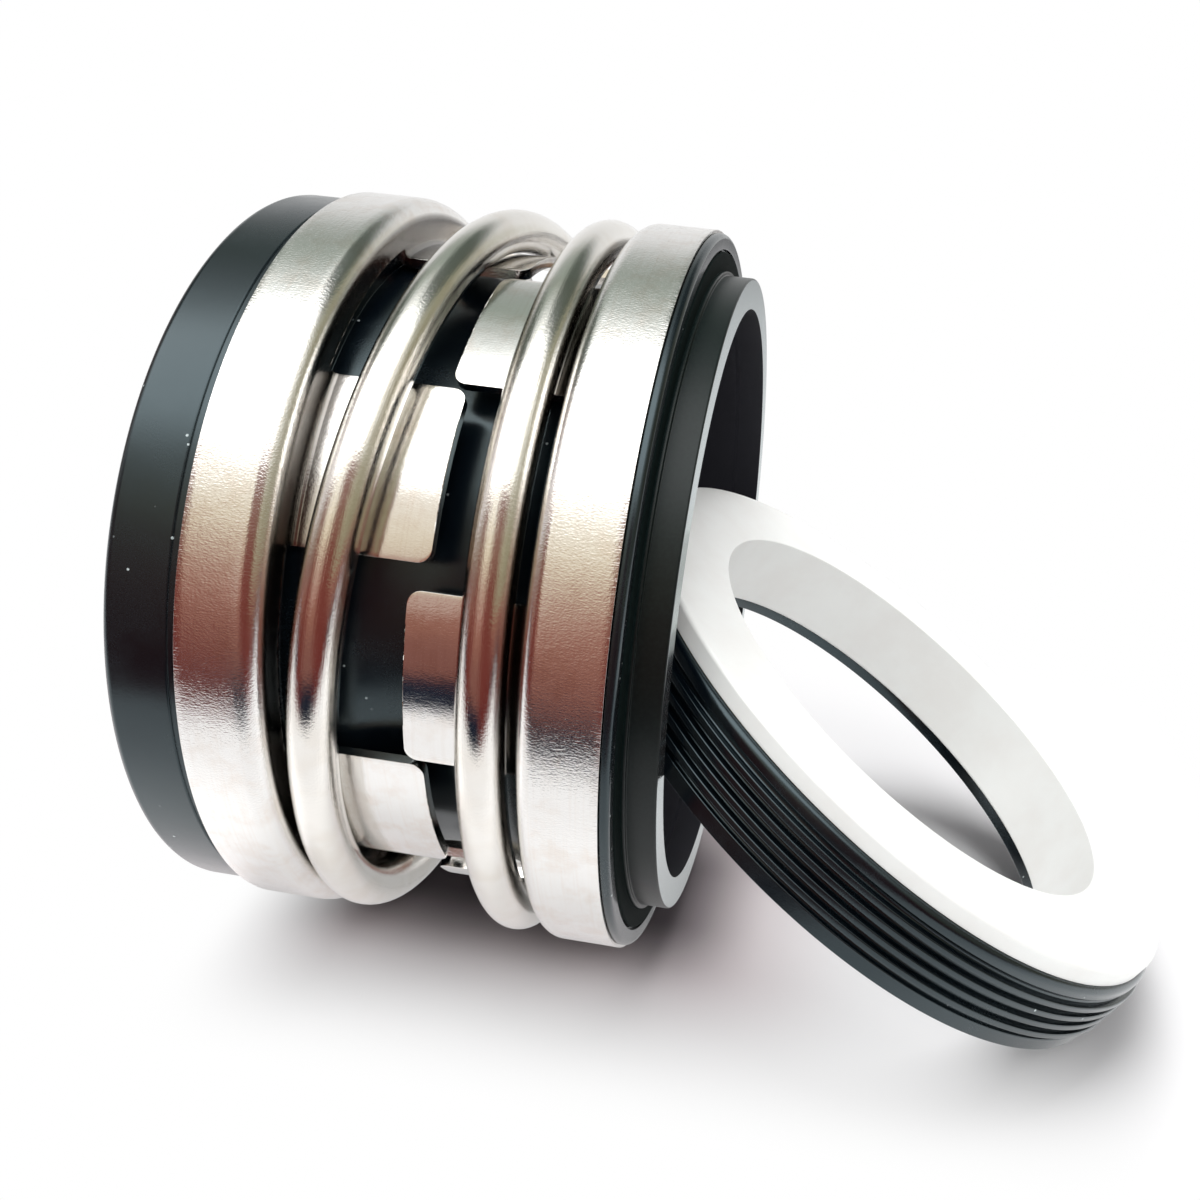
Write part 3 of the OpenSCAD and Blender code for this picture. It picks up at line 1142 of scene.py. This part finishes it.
@dataclass
class CoilSpring:
    """The one left-hand coil: closed ends, and an open part whose pitch grows and fades.

    The last part of its head end runs on to the retainer, which it meets with its cut end.
    """

    stations: Stations
    wire: float = 4.3 * MM
    closed_turns: float = 0.46
    open_turns: float = 1.14
    run_turns: float = 0.12
    run_on: float = 1.1 * MM
    first_angle: float = math.radians(113.0)
    ease: float = 0.25
    rings: int = 420
    sides: int = 40

    def _rule(self, inputs: RuleInputs) -> bpy.types.NodeTree:
        """The rule that bends the wire.

        Args:
            inputs: The rule's named inputs.

        Returns:
            The rule's tree.
        """
        graph, given, tree = rule("coil_rule", inputs)
        line = graph.node("GeometryNodeMeshLine", None, {"Count": given["Rings"], "Offset": (0.0, 0.0, 0.0)})
        index = graph.signal(graph.node("GeometryNodeInputIndex"))
        whole = given["Closed"] * 2.0 + given["Open"]
        turns = index / (given["Rings"] - 1.0) * whole
        rise = self._ramp(graph, ((turns - given["Closed"]) / given["Open"]).clamped())
        last = graph.maths("MAXIMUM", 1.0 - (whole - turns) / given["Run turns"], 0.0)
        climb = given["End"] - given["Start"] - given["Run on"]
        angle = given["First"] + turns * FULL_TURN
        spot = graph.combine(
            given["Start"] + climb * rise + given["Run on"] * last * last,
            -(given["Radius"] * graph.maths("COSINE", angle)),
            given["Radius"] * graph.maths("SINE", angle),
        )
        bent = graph.node("GeometryNodeSetPosition", None, {"Geometry": line.outputs[0], "Position": spot})
        curve = graph.node("GeometryNodeMeshToCurve", None, {"Mesh": bent.outputs[0]})
        round_wire = {"Resolution": given["Sides"], "Radius": given["Wire"] * 0.5}
        ring = graph.node("GeometryNodeCurvePrimitiveCircle", None, round_wire)
        sweep = {
            "Curve": self._measured(graph, curve, "wire_along"),
            "Profile Curve": self._measured(graph, ring, "wire_around"),
            "Fill Caps": True,
        }
        swept = graph.node("GeometryNodeCurveToMesh", None, sweep)
        finish_rule(graph, graph.signal(swept), given["Steel"])
        return tree

    def _measured(self, graph: Graph, curve: bpy.types.Node, name: str) -> Signal:
        """A curve that keeps how far along itself each point is.

        Args:
            graph: The rule's graph.
            curve: The node that makes the curve.
            name: The attribute to keep it in, from 0 to 1.

        Returns:
            The curve with the attribute.
        """
        share = graph.signal(graph.node("GeometryNodeSplineParameter"), "Factor")
        kept = {"Geometry": curve.outputs[0], "Name": name, "Value": share}
        settings = {"data_type": "FLOAT", "domain": "POINT"}
        return graph.signal(graph.node("GeometryNodeStoreNamedAttribute", settings, kept))

    def _ramp(self, graph: Graph, share: Signal) -> Signal:
        """How far along the open part the wire has climbed.

        Args:
            graph: The rule's graph.
            share: The share of the open turns so far.

        Returns:
            The share of the climb, with a soft start and a soft end.
        """
        ease = self.ease
        whole = 2.0 * ease * (1.0 - ease)
        start = graph.maths("MINIMUM", share, ease)
        end = graph.maths("MAXIMUM", share - (1.0 - ease), 0.0)
        middle = graph.maths("MINIMUM", graph.maths("MAXIMUM", share - ease, 0.0), 1.0 - 2.0 * ease)
        return start * start / whole + middle / (1.0 - ease) + (end * ease * 2.0 - end * end) / whole

    def build(self, finish: Finish) -> bpy.types.Object:
        """Makes the coil.

        Args:
            finish: The wire's finish.

        Returns:
            The coil, bending between the two bodies.
        """
        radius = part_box("coil_spring")[1][1] - self.wire / 2
        start = self.stations.band_wall + self.wire / 2
        end = self.stations.retainer_wall - self.wire / 2
        inputs = {
            "Rings": ("NodeSocketInt", self.rings),
            "Sides": ("NodeSocketInt", self.sides),
            "Wire": ("NodeSocketFloat", self.wire),
            "Radius": ("NodeSocketFloat", radius),
            "Start": ("NodeSocketFloat", start),
            "End": ("NodeSocketFloat", end),
            "First": ("NodeSocketFloat", self.first_angle),
            "Closed": ("NodeSocketFloat", self.closed_turns),
            "Open": ("NodeSocketFloat", self.open_turns),
            "Run turns": ("NodeSocketFloat", self.run_turns),
            "Run on": ("NodeSocketFloat", self.run_on),
            "Steel": ("NodeSocketMaterial", finish.build()),
        }
        piece = new_piece("coil_wire", np.zeros((1, 3)), [])
        follow_rule(piece, self._rule(inputs), inputs)
        piece.data.polygons.foreach_set("use_smooth", [True] * len(piece.data.polygons))
        piece.data.set_sharp_from_angle(angle=SHARP_TURN)
        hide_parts("coil_spring")
        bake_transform(piece, Body.DRIVE_END.value, Body.SEAL_HEAD.value, (start, 0.0, 0.0), (end, 0.0, 0.0))
        self._keep_round(piece)
        return piece

    def _keep_round(self, piece: bpy.types.Object) -> None:
        """Gives every ring of the wire the mean weight of its points, so that the wire stays round.

        On the closed turns that mean is not quite their body's own weight. At full travel they
        stand about 0.07 mm inside the end walls of the shells.

        Args:
            piece: The coil, after its blend was set.
        """
        weights = piece.data.attributes["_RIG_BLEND"].data
        along = piece.data.attributes["wire_along"].data
        values = np.zeros(len(weights))
        places = np.zeros(len(weights))
        weights.foreach_get("value", values)
        along.foreach_get("value", places)
        ring = np.rint(places * (self.rings - 1)).astype(int)
        total = np.bincount(ring, values, self.rings)
        count = np.maximum(np.bincount(ring, minlength=self.rings), 1)
        weights.foreach_set("value", (total / count)[ring].astype(np.float32))


@dataclass
class Bellows:
    """The one rubber moulding, from the tail collar to the lip round the carbon ring."""

    stations: Stations
    shaft_radius: float = 25.0 * MM
    collar_drop: float = 0.9 * MM
    collar_length: float = 5.9 * MM
    collar_round: float = 0.8 * MM
    grip_length: float = 10.6 * MM
    sleeve_radius: float = 31.55 * MM
    sleeve_wall: float = 2.0 * MM
    fold_depth: float = 1.8 * MM
    fold_steps: int = 48
    tail_corner: float = 1.1 * MM
    head_corner: float = 0.8 * MM
    lip_radius: float = 37.2 * MM
    lip_round: float = 0.55 * MM
    lip_groove: float = 0.25 * MM
    lip_groove_depth: float = 0.55 * MM
    soft_edge: float = 0.25 * MM
    crisp_edge: float = 0.1 * MM
    sleeve_root: float = 0.15 * MM
    tight_edge: float = 0.05 * MM
    bore_edge: float = 0.4 * MM
    pocket_round: float = 0.2 * MM
    grip_round: float = 0.5 * MM
    lip_back_edge: float = 0.02 * MM
    groove_edge: float = 0.08 * MM
    inner_fold_from: float = 16.5 * MM

    def _fold(self, outer: bool) -> list[Corner]:
        """The thin wall's outer or inner face, from tail to nose.

        Args:
            outer: Whether it is the outer face.

        Returns:
            The face's points.
        """
        low = self.stations.band_wall - self.stations.sheet
        high = self.stations.retainer_wall + self.stations.sheet
        inset = 0.0 if outer else self.sleeve_wall
        points = []
        for step in range(1, self.fold_steps):
            share = step / self.fold_steps
            dip = self.fold_depth * (1.0 - math.cos(FULL_TURN * share)) / 2
            points.append(Corner(self.sleeve_radius - inset - dip, low + (high - low) * share))
        return points

    def section(self) -> Section:
        """The moulding's section.

        Returns:
            Its outline, tail first, outer side first.
        """
        at = self.stations
        lining = at.shell_radius - at.sheet
        collar = at.shell_radius - self.collar_drop
        tail_inner = at.band_wall - at.sheet
        head_inner = at.retainer_wall + at.sheet + at.slip
        sleeve_bore = self.sleeve_radius - self.sleeve_wall
        lip_back = at.retainer_open + at.slip
        groove = at.ring_radius + self.lip_groove
        groove_floor = at.lip_face - self.lip_groove_depth
        pocket, pocket_back = at.ring_radius + at.slip, at.ring_back - at.slip
        inner = [corner for corner in self._fold(outer=False) if corner.station > self.inner_fold_from]
        return Section(
            [
                Corner(self.shaft_radius, 0.0, self.bore_edge),
                Corner(collar, 0.0, self.collar_round),
                Corner(collar, self.collar_length, self.soft_edge),
                Corner(lining, self.collar_length, self.crisp_edge),
                Corner(lining, tail_inner, self.tail_corner),
                Corner(self.sleeve_radius, tail_inner, self.sleeve_root),
                *self._fold(outer=True),
                Corner(self.sleeve_radius, head_inner, self.sleeve_root),
                Corner(lining - at.slip, head_inner, self.head_corner),
                Corner(lining - at.slip, lip_back, self.lip_back_edge),
                Corner(self.lip_radius, lip_back, self.crisp_edge),
                Corner(self.lip_radius, at.lip_face, self.lip_round),
                Corner(groove, at.lip_face, self.groove_edge),
                Corner(groove, groove_floor, self.tight_edge),
                Corner(pocket, groove_floor, self.tight_edge),
                Corner(pocket, pocket_back, self.crisp_edge),
                Corner(sleeve_bore, pocket_back, self.pocket_round),
                *reversed(inner),
                Corner(sleeve_bore, self.grip_length + sleeve_bore - self.shaft_radius, self.grip_round),
                Corner(self.shaft_radius, self.grip_length, self.grip_round),
            ]
        )

    def build(self, finish: Finish) -> bpy.types.Object:
        """Makes the bellows.

        Args:
            finish: The rubber's finish.

        Returns:
            The bellows, folding between the two bodies.
        """
        piece = turned("bellows_moulding", self.section(), Axle.shaft())
        piece.data.materials.append(finish.build())
        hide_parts("bellows")
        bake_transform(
            piece,
            Body.DRIVE_END.value,
            Body.SEAL_HEAD.value,
            (self.stations.band_wall, 0.0, 0.0),
            (self.stations.retainer_wall, 0.0, 0.0),
        )
        return piece


@dataclass
class PrimaryRing:
    """The carbon ring, with its flange and narrow nose."""

    stations: Stations
    wall: float = 5.4 * MM
    nose_width: float = 3.1 * MM
    nose_length: float = 3.1 * MM
    nose_step: float = 0.4 * MM
    edge: float = 0.22 * MM
    back_edge: float = 0.1 * MM
    step_edge: float = 0.08 * MM
    lapped_edge: float = 0.05 * MM

    @property
    def bore(self) -> float:
        """Radius of the ring's bore."""
        return self.stations.ring_radius - self.wall

    @property
    def flange_face(self) -> float:
        """Station of the flange, which the nose stands out from."""
        return self.stations.nose_face - self.nose_length

    def build(self, finish: Finish) -> bpy.types.Object:
        """Makes the ring.

        Args:
            finish: The carbon's finish.

        Returns:
            The ring, riding on the seal head.
        """
        at = self.stations
        nose = self.bore + self.nose_width
        flange = self.flange_face
        section = Section(
            [
                Corner(self.bore, at.ring_back, self.back_edge),
                Corner(at.ring_radius, at.ring_back, self.edge),
                Corner(at.ring_radius, flange, self.edge),
                Corner(nose + self.nose_step, flange, self.step_edge),
                Corner(nose + self.nose_step, flange + self.nose_step, self.back_edge),
                Corner(nose, flange + self.nose_step, self.step_edge),
                Corner(nose, at.nose_face, self.edge),
                Corner(self.bore, at.nose_face, self.lapped_edge),
            ]
        )
        piece = turned("carbon_ring", section, Axle.shaft())
        piece.data.materials.append(finish.build())
        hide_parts("primary_ring")
        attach(piece, Body.SEAL_HEAD.value)
        return piece


@dataclass
class Seat:
    """The stationary seat: a white ring in a ribbed rubber cup, leaning on the nose."""

    stations: Stations
    nose_bore: float
    lean: float = math.radians(33.3)
    seat_bore: float = 25.5 * MM
    seat_body: float = 32.5 * MM
    seat_flange_radius: float = 34.5 * MM
    seat_flange: float = 1.8 * MM
    seat_height: float = 9.1 * MM
    seat_round: float = 0.4 * MM
    cup_floor: float = 1.3 * MM
    cup_hole: float = 25.9 * MM
    band_radius: float = 35.1 * MM
    rib_radius: float = 35.5 * MM
    rib_count: int = 4
    lip_band: float = 1.3 * MM
    foot_band: float = 1.5 * MM
    groove_depth: float = 0.8 * MM
    groove_round: float = 0.25 * MM
    rib_round: float = 0.14 * MM
    bore_edge: float = 0.15 * MM
    hidden_edge: float = 0.1 * MM
    foot_edge: float = 0.08 * MM
    pocket_edge: float = 0.05 * MM
    rest_gap: float = 0.02 * MM

    @property
    def cup_top(self) -> float:
        """Height of the cup's lip over its foot."""
        return self.cup_floor + self.seat_height - self.seat_flange

    def axle(self) -> Axle:
        """The seat's own axis, from where the cup's foot stands and where it meets the nose.

        The foot's edge is a circle that reaches into the nose's bore. It crosses the plane of
        the nose's face at two points on the bore's edge, less the rest gap. The quadratic
        equation gives how far the foot's lowest point stands from that plane, counted in the
        foot's half lengths along X.

        Returns:
            The axis, with heights from the cup's foot.
        """
        shell, band = self.stations.shell_radius, self.band_radius
        touch = self.nose_bore - self.rest_gap
        half_length, half_height = band * math.cos(self.lean), band * math.sin(self.lean)
        square = half_height**2 - band**2
        linear = 2.0 * band**2 - 2.0 * shell * half_height
        constant = shell**2 - touch**2
        halves = (-linear - math.sqrt(linear**2 - 4.0 * square * constant)) / (2.0 * square)
        foot = Vector((self.stations.nose_face + half_length * (halves - 1.0), 0.0, half_height - shell))
        return Axle.leaning(foot, self.lean)

    def _ribs(self) -> list[Corner]:
        """The cup's outside, from the foot band up to the lip band.

        Returns:
            The corners of the grooves and of the ribs between them.
        """
        pitch = (self.cup_top - self.lip_band - self.foot_band) / (2 * self.rib_count + 1)
        floor = self.rib_radius - self.groove_depth
        corners = []
        for groove in range(self.rib_count + 1):
            low = self.foot_band + 2 * groove * pitch
            below = self.band_radius if groove == 0 else self.rib_radius
            above = self.band_radius if groove == self.rib_count else self.rib_radius
            corners += [
                Corner(below, low, self.rib_round),
                Corner(floor, low, self.groove_round),
                Corner(floor, low + pitch, self.groove_round),
                Corner(above, low + pitch, self.rib_round),
            ]
        return corners

    def build(self, ceramic: Finish, rubber: Finish) -> list[bpy.types.Object]:
        """Makes the seat ring and its cup.

        Args:
            ceramic: The ring's finish.
            rubber: The cup's finish.

        Returns:
            The ring and the cup, riding on the seal head.
        """
        axle = self.axle()
        top = self.cup_floor + self.seat_height
        ring = Section(
            [
                Corner(self.seat_bore, self.cup_floor, 2 * self.bore_edge),
                Corner(self.seat_body, self.cup_floor, self.seat_round),
                Corner(self.seat_body, self.cup_top, self.hidden_edge),
                Corner(self.seat_flange_radius, self.cup_top, self.hidden_edge),
                Corner(self.seat_flange_radius, top, self.seat_round),
                Corner(self.seat_bore, top, self.bore_edge),
            ]
        )
        cup = Section(
            [
                Corner(self.cup_hole, 0.0, self.hidden_edge),
                Corner(self.band_radius, 0.0, self.foot_edge),
                *self._ribs(),
                Corner(self.band_radius, self.cup_top, self.lip_band / 2),
                Corner(self.seat_body, self.cup_top, self.pocket_edge),
                Corner(self.seat_body, self.cup_floor, self.seat_round),
                Corner(self.cup_hole, self.cup_floor, self.hidden_edge),
            ]
        )
        made = []
        for name, node, section, finish in (
            ("ceramic_seat", "seat_ring", ring, ceramic),
            ("ribbed_cup", "cup_gasket", cup, rubber),
        ):
            piece = turned(name, section, axle)
            piece.data.materials.append(finish.build())
            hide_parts(node)
            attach(piece, Body.SEAL_HEAD.value)
            made.append(piece)
        return made


@dataclass(frozen=True)
class Lamp:
    """A soft square lamp, with its size in metres and its power in watts."""

    name: str
    place: Point
    size: float
    watts: float


@dataclass
class Studio:
    """A plain pale floor, soft lamps, the surroundings that the metal mirrors, and the camera.

    SURROUNDINGS goes by the angle round the shaft, in degrees: 0 is the near side, 90 is up and
    180 is the far side. Each of its colours was chosen one by one.
    """

    SURROUNDINGS: ClassVar[tuple[tuple[float, Colour], ...]] = (
        (0.0, (0.12, 0.05, 0.04)),
        (12.0, (0.15, 0.10, 0.075)),
        (22.0, (0.27, 0.24, 0.18)),
        (38.0, (0.38, 0.37, 0.34)),
        (52.0, (1.0, 1.0, 1.0)),
        (80.0, (1.0, 1.0, 1.0)),
        (93.0, (0.40, 0.41, 0.40)),
        (104.0, (0.20, 0.21, 0.20)),
        (116.0, (0.10, 0.115, 0.10)),
        (130.0, (0.11, 0.12, 0.11)),
        (146.0, (0.25, 0.25, 0.25)),
        (180.0, (0.30, 0.30, 0.30)),
    )

    LAMPS: ClassVar[tuple[Lamp, ...]] = (
        Lamp("window", (-0.02, 0.06, 0.80), 0.6, 7.0),
        Lamp("fill", (0.35, -0.65, 0.45), 0.7, 3.6),
    )

    floor_height: float
    middle: Vector
    floor_size: float = 8.0
    mirrored_light: float = 3.4
    ambient: Colour = (0.355, 0.345, 0.35)
    dark_ends: Colour = (0.06, 0.04, 0.035)
    nose_end: Colour = (0.10, 0.095, 0.06)
    pale_strip: Colour = (0.22, 0.19, 0.16)
    near_post: Colour = (0.050, 0.009, 0.007)
    over_post: Colour = (0.020, 0.025, 0.020)
    floor_post: Colour = (0.17, 0.032, 0.026)
    post_share: float = 0.85
    paper: Colour = (0.76, 0.76, 0.765)
    # Painted shade on the floor: a mauve tint beside the head, and a dark patch right under it.
    shaded_paper: Colour = (0.76, 0.69, 0.705)
    painted_contact_shadow: Colour = (0.16, 0.14, 0.15)
    # Painted light: how strongly the paper glows white in mirrors, all over and near the seal.
    mirrored_glow: float = 0.05
    mirrored_lift: float = 0.44
    table_edge: float = -75.0 * MM
    dark_from: float = -86.0 * MM
    beyond_edge: Colour = (0.012, 0.017, 0.032)
    beyond_table: Colour = (0.24, 0.10, 0.08)
    far_off: Colour = (0.34, 0.15, 0.11)
    camera_place: Vector = field(default_factory=lambda: Vector((62.06, -128.82, 44.94)) * MM)
    camera_right: Vector = field(default_factory=lambda: Vector((0.9869, 0.1286, 0.0976)))
    camera_up: Vector = field(default_factory=lambda: Vector((-0.1304, 0.2789, 0.9514)))
    camera_shift: tuple[float, float] = (-0.1196, -0.0448)
    lens_mm: float = 38.33
    sensor_mm: float = 36.0
    clip_start: float = 5.0 * MM

    def _posts(self, graph: Graph, x: Signal, colour: Any, share: Number, post: Colour) -> Signal:
        """Stands two dark posts beside the shells' own mirror image, for the wire and the shells' corners.

        Args:
            graph: The tree to add to.
            x: How far a direction points along the shaft, from -1 to 1.
            colour: What is there without the posts.
            share: 1 where the posts stand.
            post: Their colour.

        Returns:
            The colour with the posts.
        """
        head_post = x.ramp(-0.10, 0.04) * x.ramp(0.66, 0.56)
        tail_post = x.ramp(-0.54, -0.62) * x.ramp(-0.86, -0.78)
        return graph.mix((head_post + tail_post) * share * self.post_share, colour, post)

    def _surroundings(self, graph: Graph, way: Signal) -> Signal:
        """What a mirror shows in each direction.

        Args:
            graph: The world's tree.
            way: The direction.

        Returns:
            Its colour, which changes from the near side up and over to the far side.
        """
        x, y, z = graph.split(way)
        angle = abs(graph.maths("ARCTAN2", z, -y)) / math.pi
        stops = [(degrees / 180.0, colour) for degrees, colour in self.SURROUNDINGS]
        arch = graph.signal(graph.node("ShaderNodeValToRGB", {"stops": stops}, [angle]))
        near = angle.ramp(0.25, 0.20)
        over = angle.ramp(0.48, 0.55) * angle.ramp(0.82, 0.72)
        arch = graph.mix(abs(x).ramp(0.60, 0.92) * 0.8, arch, self.dark_ends)
        arch = graph.mix(x.ramp(0.30, 0.70) * 0.75, arch, self.nose_end)
        arch = graph.mix(near * x.ramp(-0.44, -0.38) * x.ramp(-0.26, -0.31) * 0.5, arch, self.pale_strip)
        arch = self._posts(graph, x, arch, near, self.near_post)
        arch = self._posts(graph, x, arch, over, self.over_post)
        return graph.scaled(arch, self.mirrored_light)

    def light_world(self) -> None:
        """White for the camera, the surroundings for mirrors, and a plain ambient level."""
        world = bpy.data.worlds.new("studio")
        bpy.context.scene.world = world
        world.use_nodes = True
        graph = Graph(world.node_tree)
        way = graph.signal(graph.node("ShaderNodeTexCoord"), "Generated")
        rays = graph.node("ShaderNodeLightPath")
        seen = [graph.signal(rays, name) for name in ("Is Camera Ray", "Is Transmission Ray")]
        colour = graph.mix(graph.first_mirror(rays), self.ambient, self._surroundings(graph, way))
        colour = graph.mix(graph.maths("MAXIMUM", *seen), colour, WHITE)
        background = graph.node("ShaderNodeBackground", None, {"Color": colour})
        graph.node("ShaderNodeOutputWorld", None, [background.outputs[0]])

    def _glow(self, graph: Graph, colour: Any, strength: Number) -> bpy.types.NodeSocket:
        """A shader that gives off light.

        Args:
            graph: The tree to add to.
            colour: The light's colour.
            strength: How strong it is, where 1 is white.

        Returns:
            The shader's socket.
        """
        light = {"Color": with_alpha(colour), "Strength": strength}
        return graph.node("ShaderNodeEmission", None, light).outputs[0]

    def _near_paper(self, graph: Graph, x: Signal, y: Signal, rays: bpy.types.Node) -> bpy.types.NodeSocket:
        """The paper on the table, plain white round the seal for the camera.

        Beside the seal's real shadow it has a painted mauve shade and a painted contact shadow under the
        head.

        Args:
            graph: The material's tree.
            x: The place on the floor along the shaft.
            y: The place on the floor away from the camera.
            rays: The tree's Light Path node.

        Returns:
            The shader's socket.
        """
        past_middle = x - self.middle.x
        # Painted shade: a mauve band beside the head, and a dark painted contact shadow right under it.
        mauve_shade_share = abs(y).ramp(36.0 * MM, 12.0 * MM) * past_middle.ramp(20.0 * MM, 0.0)
        contact_shadow_share = abs(y).ramp(20.0 * MM, 5.0 * MM) * past_middle.ramp(8.0 * MM, -4.0 * MM)
        colour = graph.mix(contact_shadow_share, graph.mix(mauve_shade_share, self.paper, self.shaded_paper), self.painted_contact_shadow)
        sheet = graph.node("ShaderNodeBsdfDiffuse", None, {"Color": colour})
        # Painted light: in mirrors the paper glows white, most where the seal's shadow falls, so mirrors show
        # that floor as lit.
        painted_mirror_light = abs(y).ramp(60.0 * MM, 35.0 * MM) * self.mirrored_lift + self.mirrored_glow
        glow = self._glow(graph, WHITE, graph.first_mirror(rays) * painted_mirror_light)
        lit = graph.node("ShaderNodeAddShader", None, [sheet.outputs[0], glow])
        aside = (x - cad_low[0]).ramp(14.0 * MM, -2.0 * MM) + (x - cad_high[0]).ramp(0.0, 18.0 * MM)
        kept = y.ramp(-38.0 * MM, -12.0 * MM) * y.ramp(90.0 * MM, 50.0 * MM) * (1.0 - aside)
        faded = graph.signal(rays, "Is Camera Ray") * (1.0 - kept)
        white = self._glow(graph, WHITE, 1.0)
        return graph.node("ShaderNodeMixShader", None, [faded, lit.outputs[0], white]).outputs[0]

    def _beyond_paper(self, graph: Graph, x: Signal, y: Signal) -> bpy.types.NodeSocket:
        """What mirrors see past the table's near edge.

        Args:
            graph: The material's tree.
            x: The place on the floor along the shaft.
            y: The place on the floor away from the camera.

        Returns:
            The shader's socket.
        """
        past_middle = x - self.middle.x
        sideways = past_middle / graph.maths("SQRT", past_middle * past_middle + y * y + MM * MM)
        shade = graph.mix(y.ramp(-106.0 * MM, -132.0 * MM), self.beyond_edge, self.beyond_table)
        shade = graph.mix(y.ramp(-150.0 * MM, -450.0 * MM), shade, self.far_off)
        return self._glow(graph, self._posts(graph, sideways, shade, 1.0, self.floor_post), 1.0)

    def _paper(self) -> bpy.types.Material:
        """The floor's paper: white round the seal for the camera, and dark in mirrors beyond its near edge.

        Returns:
            Its material.
        """
        material = bpy.data.materials.new("paper")
        material.use_nodes = True
        graph = Graph(material.node_tree)
        x, y, _ = graph.split(graph.signal(graph.node("ShaderNodeTexCoord"), "Object"))
        rays = graph.node("ShaderNodeLightPath")
        near = self._near_paper(graph, x, y, rays)
        share = graph.first_mirror(rays) * y.ramp(self.table_edge, self.dark_from)
        mixed = graph.node("ShaderNodeMixShader", None, [share, near, self._beyond_paper(graph, x, y)])
        graph.node("ShaderNodeOutputMaterial", None, [mixed.outputs[0]])
        return material

    def lay_floor(self) -> bpy.types.Object:
        """Lays the floor that the seal lies on.

        Returns:
            The floor.
        """
        half = self.floor_size / 2
        sides = ((-half, -half), (half, -half), (half, half), (-half, half))
        corners = np.array([(x, y, self.floor_height) for x, y in sides])
        floor = new_piece("studio_floor", corners, [(0, 1, 2, 3)])
        floor.data.materials.append(self._paper())
        return floor

    def hang_lamps(self) -> None:
        """Hangs the soft lamps, which no mirror shows."""
        for lamp in self.LAMPS:
            data = bpy.data.lights.new(lamp.name, "AREA")
            data.energy = lamp.watts
            data.size = lamp.size
            place = Vector(lamp.place)
            hung = bpy.data.objects.new(lamp.name, data)
            hung.location = place
            hung.rotation_euler = (place - self.middle).to_track_quat("Z", "Y").to_euler()
            hung.visible_glossy = False
            bpy.context.scene.collection.objects.link(hung)

    def place_camera(self) -> None:
        """Puts the camera where the photograph was taken from."""
        data = bpy.data.cameras.new("camera")
        data.sensor_width = self.sensor_mm
        data.lens = self.lens_mm
        data.shift_x, data.shift_y = self.camera_shift
        data.clip_start = self.clip_start
        camera = bpy.data.objects.new("camera", data)
        right = self.camera_right.normalized()
        back = right.cross(self.camera_up).normalized()
        turn = Matrix((right, back.cross(right), back)).transposed()
        camera.matrix_world = Matrix.Translation(self.camera_place) @ turn.to_4x4()
        bpy.context.scene.collection.objects.link(camera)
        bpy.context.scene.camera = camera

    def build(self) -> None:
        """Sets up the whole studio."""
        bpy.context.scene.view_settings.view_transform = "Standard"
        self.place_camera()
        self.light_world()
        self.lay_floor()
        self.hang_lamps()


def main() -> None:
    """Builds the seal's dressed pieces in order, and the studio round them."""
    logging.basicConfig(level=logging.INFO, format="%(name)s: %(message)s")
    stations = Stations()
    rubber = MouldedRubber()
    pieces = [Bellows(stations).build(rubber)]
    for shell in (PressedShell.drive_band(stations), PressedShell.retainer(stations)):
        steel = PressedSteel(open_edge=shell.open_end, lug_from=shell.wall_face, lug_side=shell.side)
        pieces.append(shell.build(steel))
    pieces.append(CoilSpring(stations).build(DrawnWire()))
    ring = PrimaryRing(stations)
    carbon = TurnedCarbon(lapped_face=stations.nose_face, flange_face=ring.flange_face, bore_radius=ring.bore)
    pieces.append(ring.build(carbon))
    pieces += Seat(stations, ring.bore).build(GroundCeramic(), rubber)
    for piece in pieces:
        log.info("%s has %d faces", piece.name, len(piece.data.polygons))
    Studio(floor_height=cad_low[2], middle=Vector(((cad_low[0] + cad_high[0]) / 2, 0.0, 0.0))).build()


if __name__ == "__main__":
    main()
